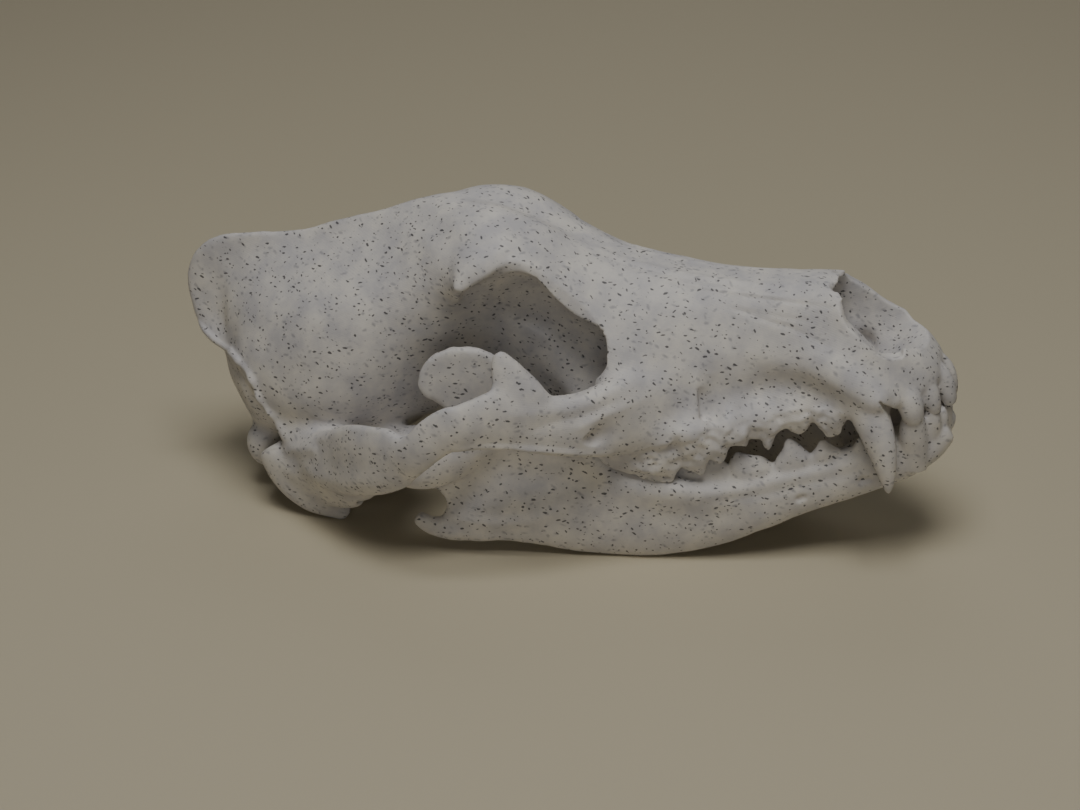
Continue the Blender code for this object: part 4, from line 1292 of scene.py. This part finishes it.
def rested(item):
    """Turns the piece nose up, puts it where the skull rests and makes it flat where it meets the floor."""
    turn = Matrix.Rotation(-NOSE_UP, 4, "Y")
    item.data.transform(Matrix.Translation(RESTING_PLACE) @ turn)
    points, _ = read_points(item)
    write_points(item, points.clip(np.array(cad_low) / MM, np.array(cad_high) / MM))
    item.data.shade_smooth()
    return item


def linear(hex_colour):
    """A shader's colour from an sRGB hex value."""
    parts = [int(hex_colour[i : i + 2], 16) / 255 for i in (1, 3, 5)]
    return (*[c / 12.92 if c <= 0.04045 else ((c + 0.055) / 1.055) ** 2.4 for c in parts], 1)


def add(tree, kind, settings=None, links=None):
    """Adds a node, sets its properties and sockets, and links its inputs."""
    node = tree.nodes.new(kind)
    for name, value in (settings or {}).items():
        if isinstance(name, str) and hasattr(node, name):
            setattr(node, name, value)
        else:
            node.inputs[name].default_value = value
    for name, socket in (links or {}).items():
        tree.links.new(socket, node.inputs[name])
    return node


def ranged(tree, value, settings):
    """A value moved from one range to another."""
    return add(tree, "ShaderNodeMapRange", settings, {"Value": value}).outputs[0]


def maths(tree, operation, settings, links):
    """A sum of two values, or another operation on them."""
    return add(tree, "ShaderNodeMath", {"operation": operation, **settings}, links).outputs[0]


def vectors(tree, operation, settings, links):
    """The same for vectors. The result may be a vector or a value, so the node is given back."""
    return add(tree, "ShaderNodeVectorMath", {"operation": operation, **settings}, links)


def rotated(tree, axis, settings, links):
    """A vector turned about an axis."""
    return add(tree, "ShaderNodeVectorRotate", {"rotation_type": axis, **settings}, links).outputs[0]


def mixed(tree, settings, links):
    """Socket 7's colour over that of socket 6, by the share in socket 0."""
    return add(tree, "ShaderNodeMix", {"data_type": "RGBA", **settings}, links).outputs[2]


def flecks(tree, place, spacing, half_sizes, present, softness):
    """Where the specks of one kind show: flat splinters that lie in the layers, turned at random."""
    cells = add(tree, "ShaderNodeTexVoronoi", {"Scale": 1 / spacing}, {"Vector": place})
    chance = add(tree, "ShaderNodeSeparateColor", None, {"Color": cells.outputs["Color"]})
    offset = vectors(tree, "SUBTRACT", {}, {0: place, 1: cells.outputs["Position"]}).outputs[0]
    angle = ranged(tree, chance.outputs[0], {"To Min": -FLECK_TURN, "To Max": FLECK_TURN})
    turned = rotated(tree, "Z_AXIS", {}, {"Vector": offset, "Angle": angle})
    lean = ranged(tree, chance.outputs[1], {"To Min": -FLECK_LEAN, "To Max": FLECK_LEAN})
    leaned = rotated(tree, "Y_AXIS", {}, {"Vector": turned, "Angle": lean})
    shaped = vectors(tree, "DIVIDE", {1: half_sizes}, {0: leaned}).outputs[0]
    length = vectors(tree, "LENGTH", {}, {0: shaped}).outputs["Value"]
    smallest, largest = FLECK_SIZES
    sizes = {"From Min": 1 - present, "To Min": smallest, "To Max": largest, "clamp": False}
    size = ranged(tree, chance.outputs[2], sizes)
    gap = maths(tree, "SUBTRACT", {}, {0: size, 1: length})
    edge = {"From Min": 0.0, "From Max": softness, "interpolation_type": "SMOOTHSTEP"}
    return ranged(tree, gap, edge)


def speckled_plastic():
    """White plastic with splinters of dark grey filler, laid down in thin layers.

    It looks like pale granite, matt, with sharp flecks at the surface and blurred ones just under it.
    """
    material = bpy.data.materials.new("speckled_white_plastic")
    material.use_nodes = True
    tree = material.node_tree
    shader = tree.nodes["Principled BSDF"]
    shader.inputs["Roughness"].default_value = 0.55
    shader.inputs["IOR"].default_value = 1.46
    place = add(tree, "ShaderNodeTexCoord").outputs["Object"]
    millimetres = vectors(tree, "SCALE", {"Scale": 1 / MM}, {0: place}).outputs[0]
    # Layers lie level with the tooth row, which the skull's pose tips up
    level = rotated(tree, "Y_AXIS", {"Angle": -NOSE_UP}, {"Vector": millimetres})
    wobble = add(tree, "ShaderNodeTexNoise", {"Scale": 0.9, "Detail": 2.0}, {"Vector": level})
    strays = {0: wobble.outputs["Color"], 2: level}
    bent = vectors(tree, "MULTIPLY_ADD", {1: (WOBBLE, WOBBLE, WOBBLE)}, strays).outputs[0]
    sharp = flecks(tree, bent, *SHARP_FLECKS)
    sunken = flecks(tree, bent, *SUNKEN_FLECKS)
    # The plastic is a little warmer and paler in broad clouds
    clouds = {"Scale": 0.09, "Detail": 4.0, "Roughness": 0.6}
    cloud = add(tree, "ShaderNodeTexNoise", clouds, {"Vector": level}).outputs[0]
    tint = ranged(tree, cloud, {"From Min": 0.35, "From Max": 0.65})
    base = mixed(tree, {6: linear("#BFBCBC"), 7: linear("#DAD5CD")}, {0: tint})
    faded = maths(tree, "MULTIPLY", {1: SUNKEN_STRENGTH}, {0: sunken})
    clouded = mixed(tree, {7: linear("#85848A")}, {0: faded, 6: base})
    dark = maths(tree, "MULTIPLY", {1: SHARP_STRENGTH}, {0: sharp})
    speckled = mixed(tree, {7: linear("#3A393D")}, {0: dark, 6: clouded})
    tree.links.new(speckled, shader.inputs["Base Color"])
    # Layers of a fifth of a millimetre wouldn't show, so they are drawn coarser, 0.7 mm thick
    height = add(tree, "ShaderNodeSeparateXYZ", None, {0: level}).outputs["Z"]
    phase = maths(tree, "MULTIPLY", {1: 2 * math.pi / LAYER_HEIGHT}, {0: height})
    wave = maths(tree, "SINE", {}, {0: phase})
    grain = add(tree, "ShaderNodeTexNoise", {"Scale": 2.2, "Detail": 3.0}, {"Vector": level}).outputs[0]
    relief = maths(tree, "MULTIPLY_ADD", {1: 0.25}, {0: wave, 2: grain})
    bump = add(tree, "ShaderNodeBump", {"Strength": 0.5, "Distance": 0.06 * MM}, {"Height": relief})
    tree.links.new(bump.outputs[0], shader.inputs["Normal"])
    return material


def floor_paint():
    """Pale matt paint, rolled on: it takes soft shadows and shows no clear reflection."""
    paint = bpy.data.materials.new("pale_floor_paint")
    paint.use_nodes = True
    shader = paint.node_tree.nodes["Principled BSDF"]
    shader.inputs["Base Color"].default_value = linear("#C2B89E")
    shader.inputs["Roughness"].default_value = 0.8
    return paint


def studio():
    """A plain pale floor and soft light from above."""
    build = bmesh.new()
    bmesh.ops.create_grid(build, x_segments=1, y_segments=1, size=FLOOR_HALF)
    floor = linked("floor", mesh_of("floor", build))
    floor.data.materials.append(floor_paint())
    world = bpy.data.worlds.new("studio")
    world.use_nodes = True
    background = world.node_tree.nodes["Background"]
    background.inputs["Color"].default_value = linear("#E4E2DE")
    background.inputs["Strength"].default_value = ROOM_STRENGTH
    bpy.context.scene.world = world
    for name, (place, size, power) in LAMPS.items():
        soft_box(name, place, size, power)


def soft_box(name, place, size, power):
    """A square lamp that faces the skull."""
    lamp = bpy.data.lights.new(name, "AREA")
    lamp.shape = "SQUARE"
    lamp.size = size
    lamp.energy = power
    item = linked(name, lamp)
    item.location = place
    item.rotation_euler = (-Vector(place)).to_track_quat("-Z", "Y").to_euler()


def photo_camera():
    """The camera at the photograph's place, a little above the skull and to its right."""
    lens = bpy.data.cameras.new("camera")
    lens.sensor_width = SENSOR_WIDTH
    lens.lens = SENSOR_WIDTH * FOCAL_PIXELS / PHOTO_WIDTH
    lens.clip_start = 0.01
    across, ahead = math.cos(CAMERA_ROUND), math.sin(CAMERA_ROUND)
    level = math.cos(CAMERA_ABOVE)
    back = Vector((ahead * level, -across * level, math.sin(CAMERA_ABOVE)))
    right = Vector((across, ahead, 0))
    above = back.cross(right)
    turn = Matrix.Rotation(-NOSE_UP, 4, "Y")
    middle = Matrix.Translation(RESTING_PLACE) @ turn @ (Vector(SKULL_MIDDLE) * MM)
    place = middle + back * CAMERA_AWAY - right * CAMERA_ASIDE[0] - above * CAMERA_ASIDE[1]
    camera = linked("camera", lens)
    camera.matrix_world = Matrix.Translation(place) @ Matrix([right, above, back]).transposed().to_4x4()
    bpy.context.scene.camera = camera


def finished(item, name, material, *nodes):
    """Names the piece, gives it its finish, hangs it from the root body and hides the parts of the model that
    it stands for.
    """
    item.name = name
    item.data.materials.clear()
    item.data.materials.append(material)
    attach(item, "root")
    if nodes:
        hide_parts(*nodes)


def main():
    """Builds the three pieces, the stage and the camera."""
    plastic = speckled_plastic()
    head = rested(thinned(cranium(), CRANIUM_TRIANGLES))
    arches = ("zygomatic_arch_right", "zygomatic_arch_left")
    finished(head, "cranium_skin", plastic, "braincase", "rostrum", *arches)
    right_jaw = thinned(jaw(), JAW_TRIANGLES)
    left_jaw = mirrored(right_jaw)
    finished(rested(right_jaw), "jaw_right", plastic, "mandible_right")
    finished(rested(left_jaw), "jaw_left", plastic, "mandible_left")
    studio()
    photo_camera()


main()
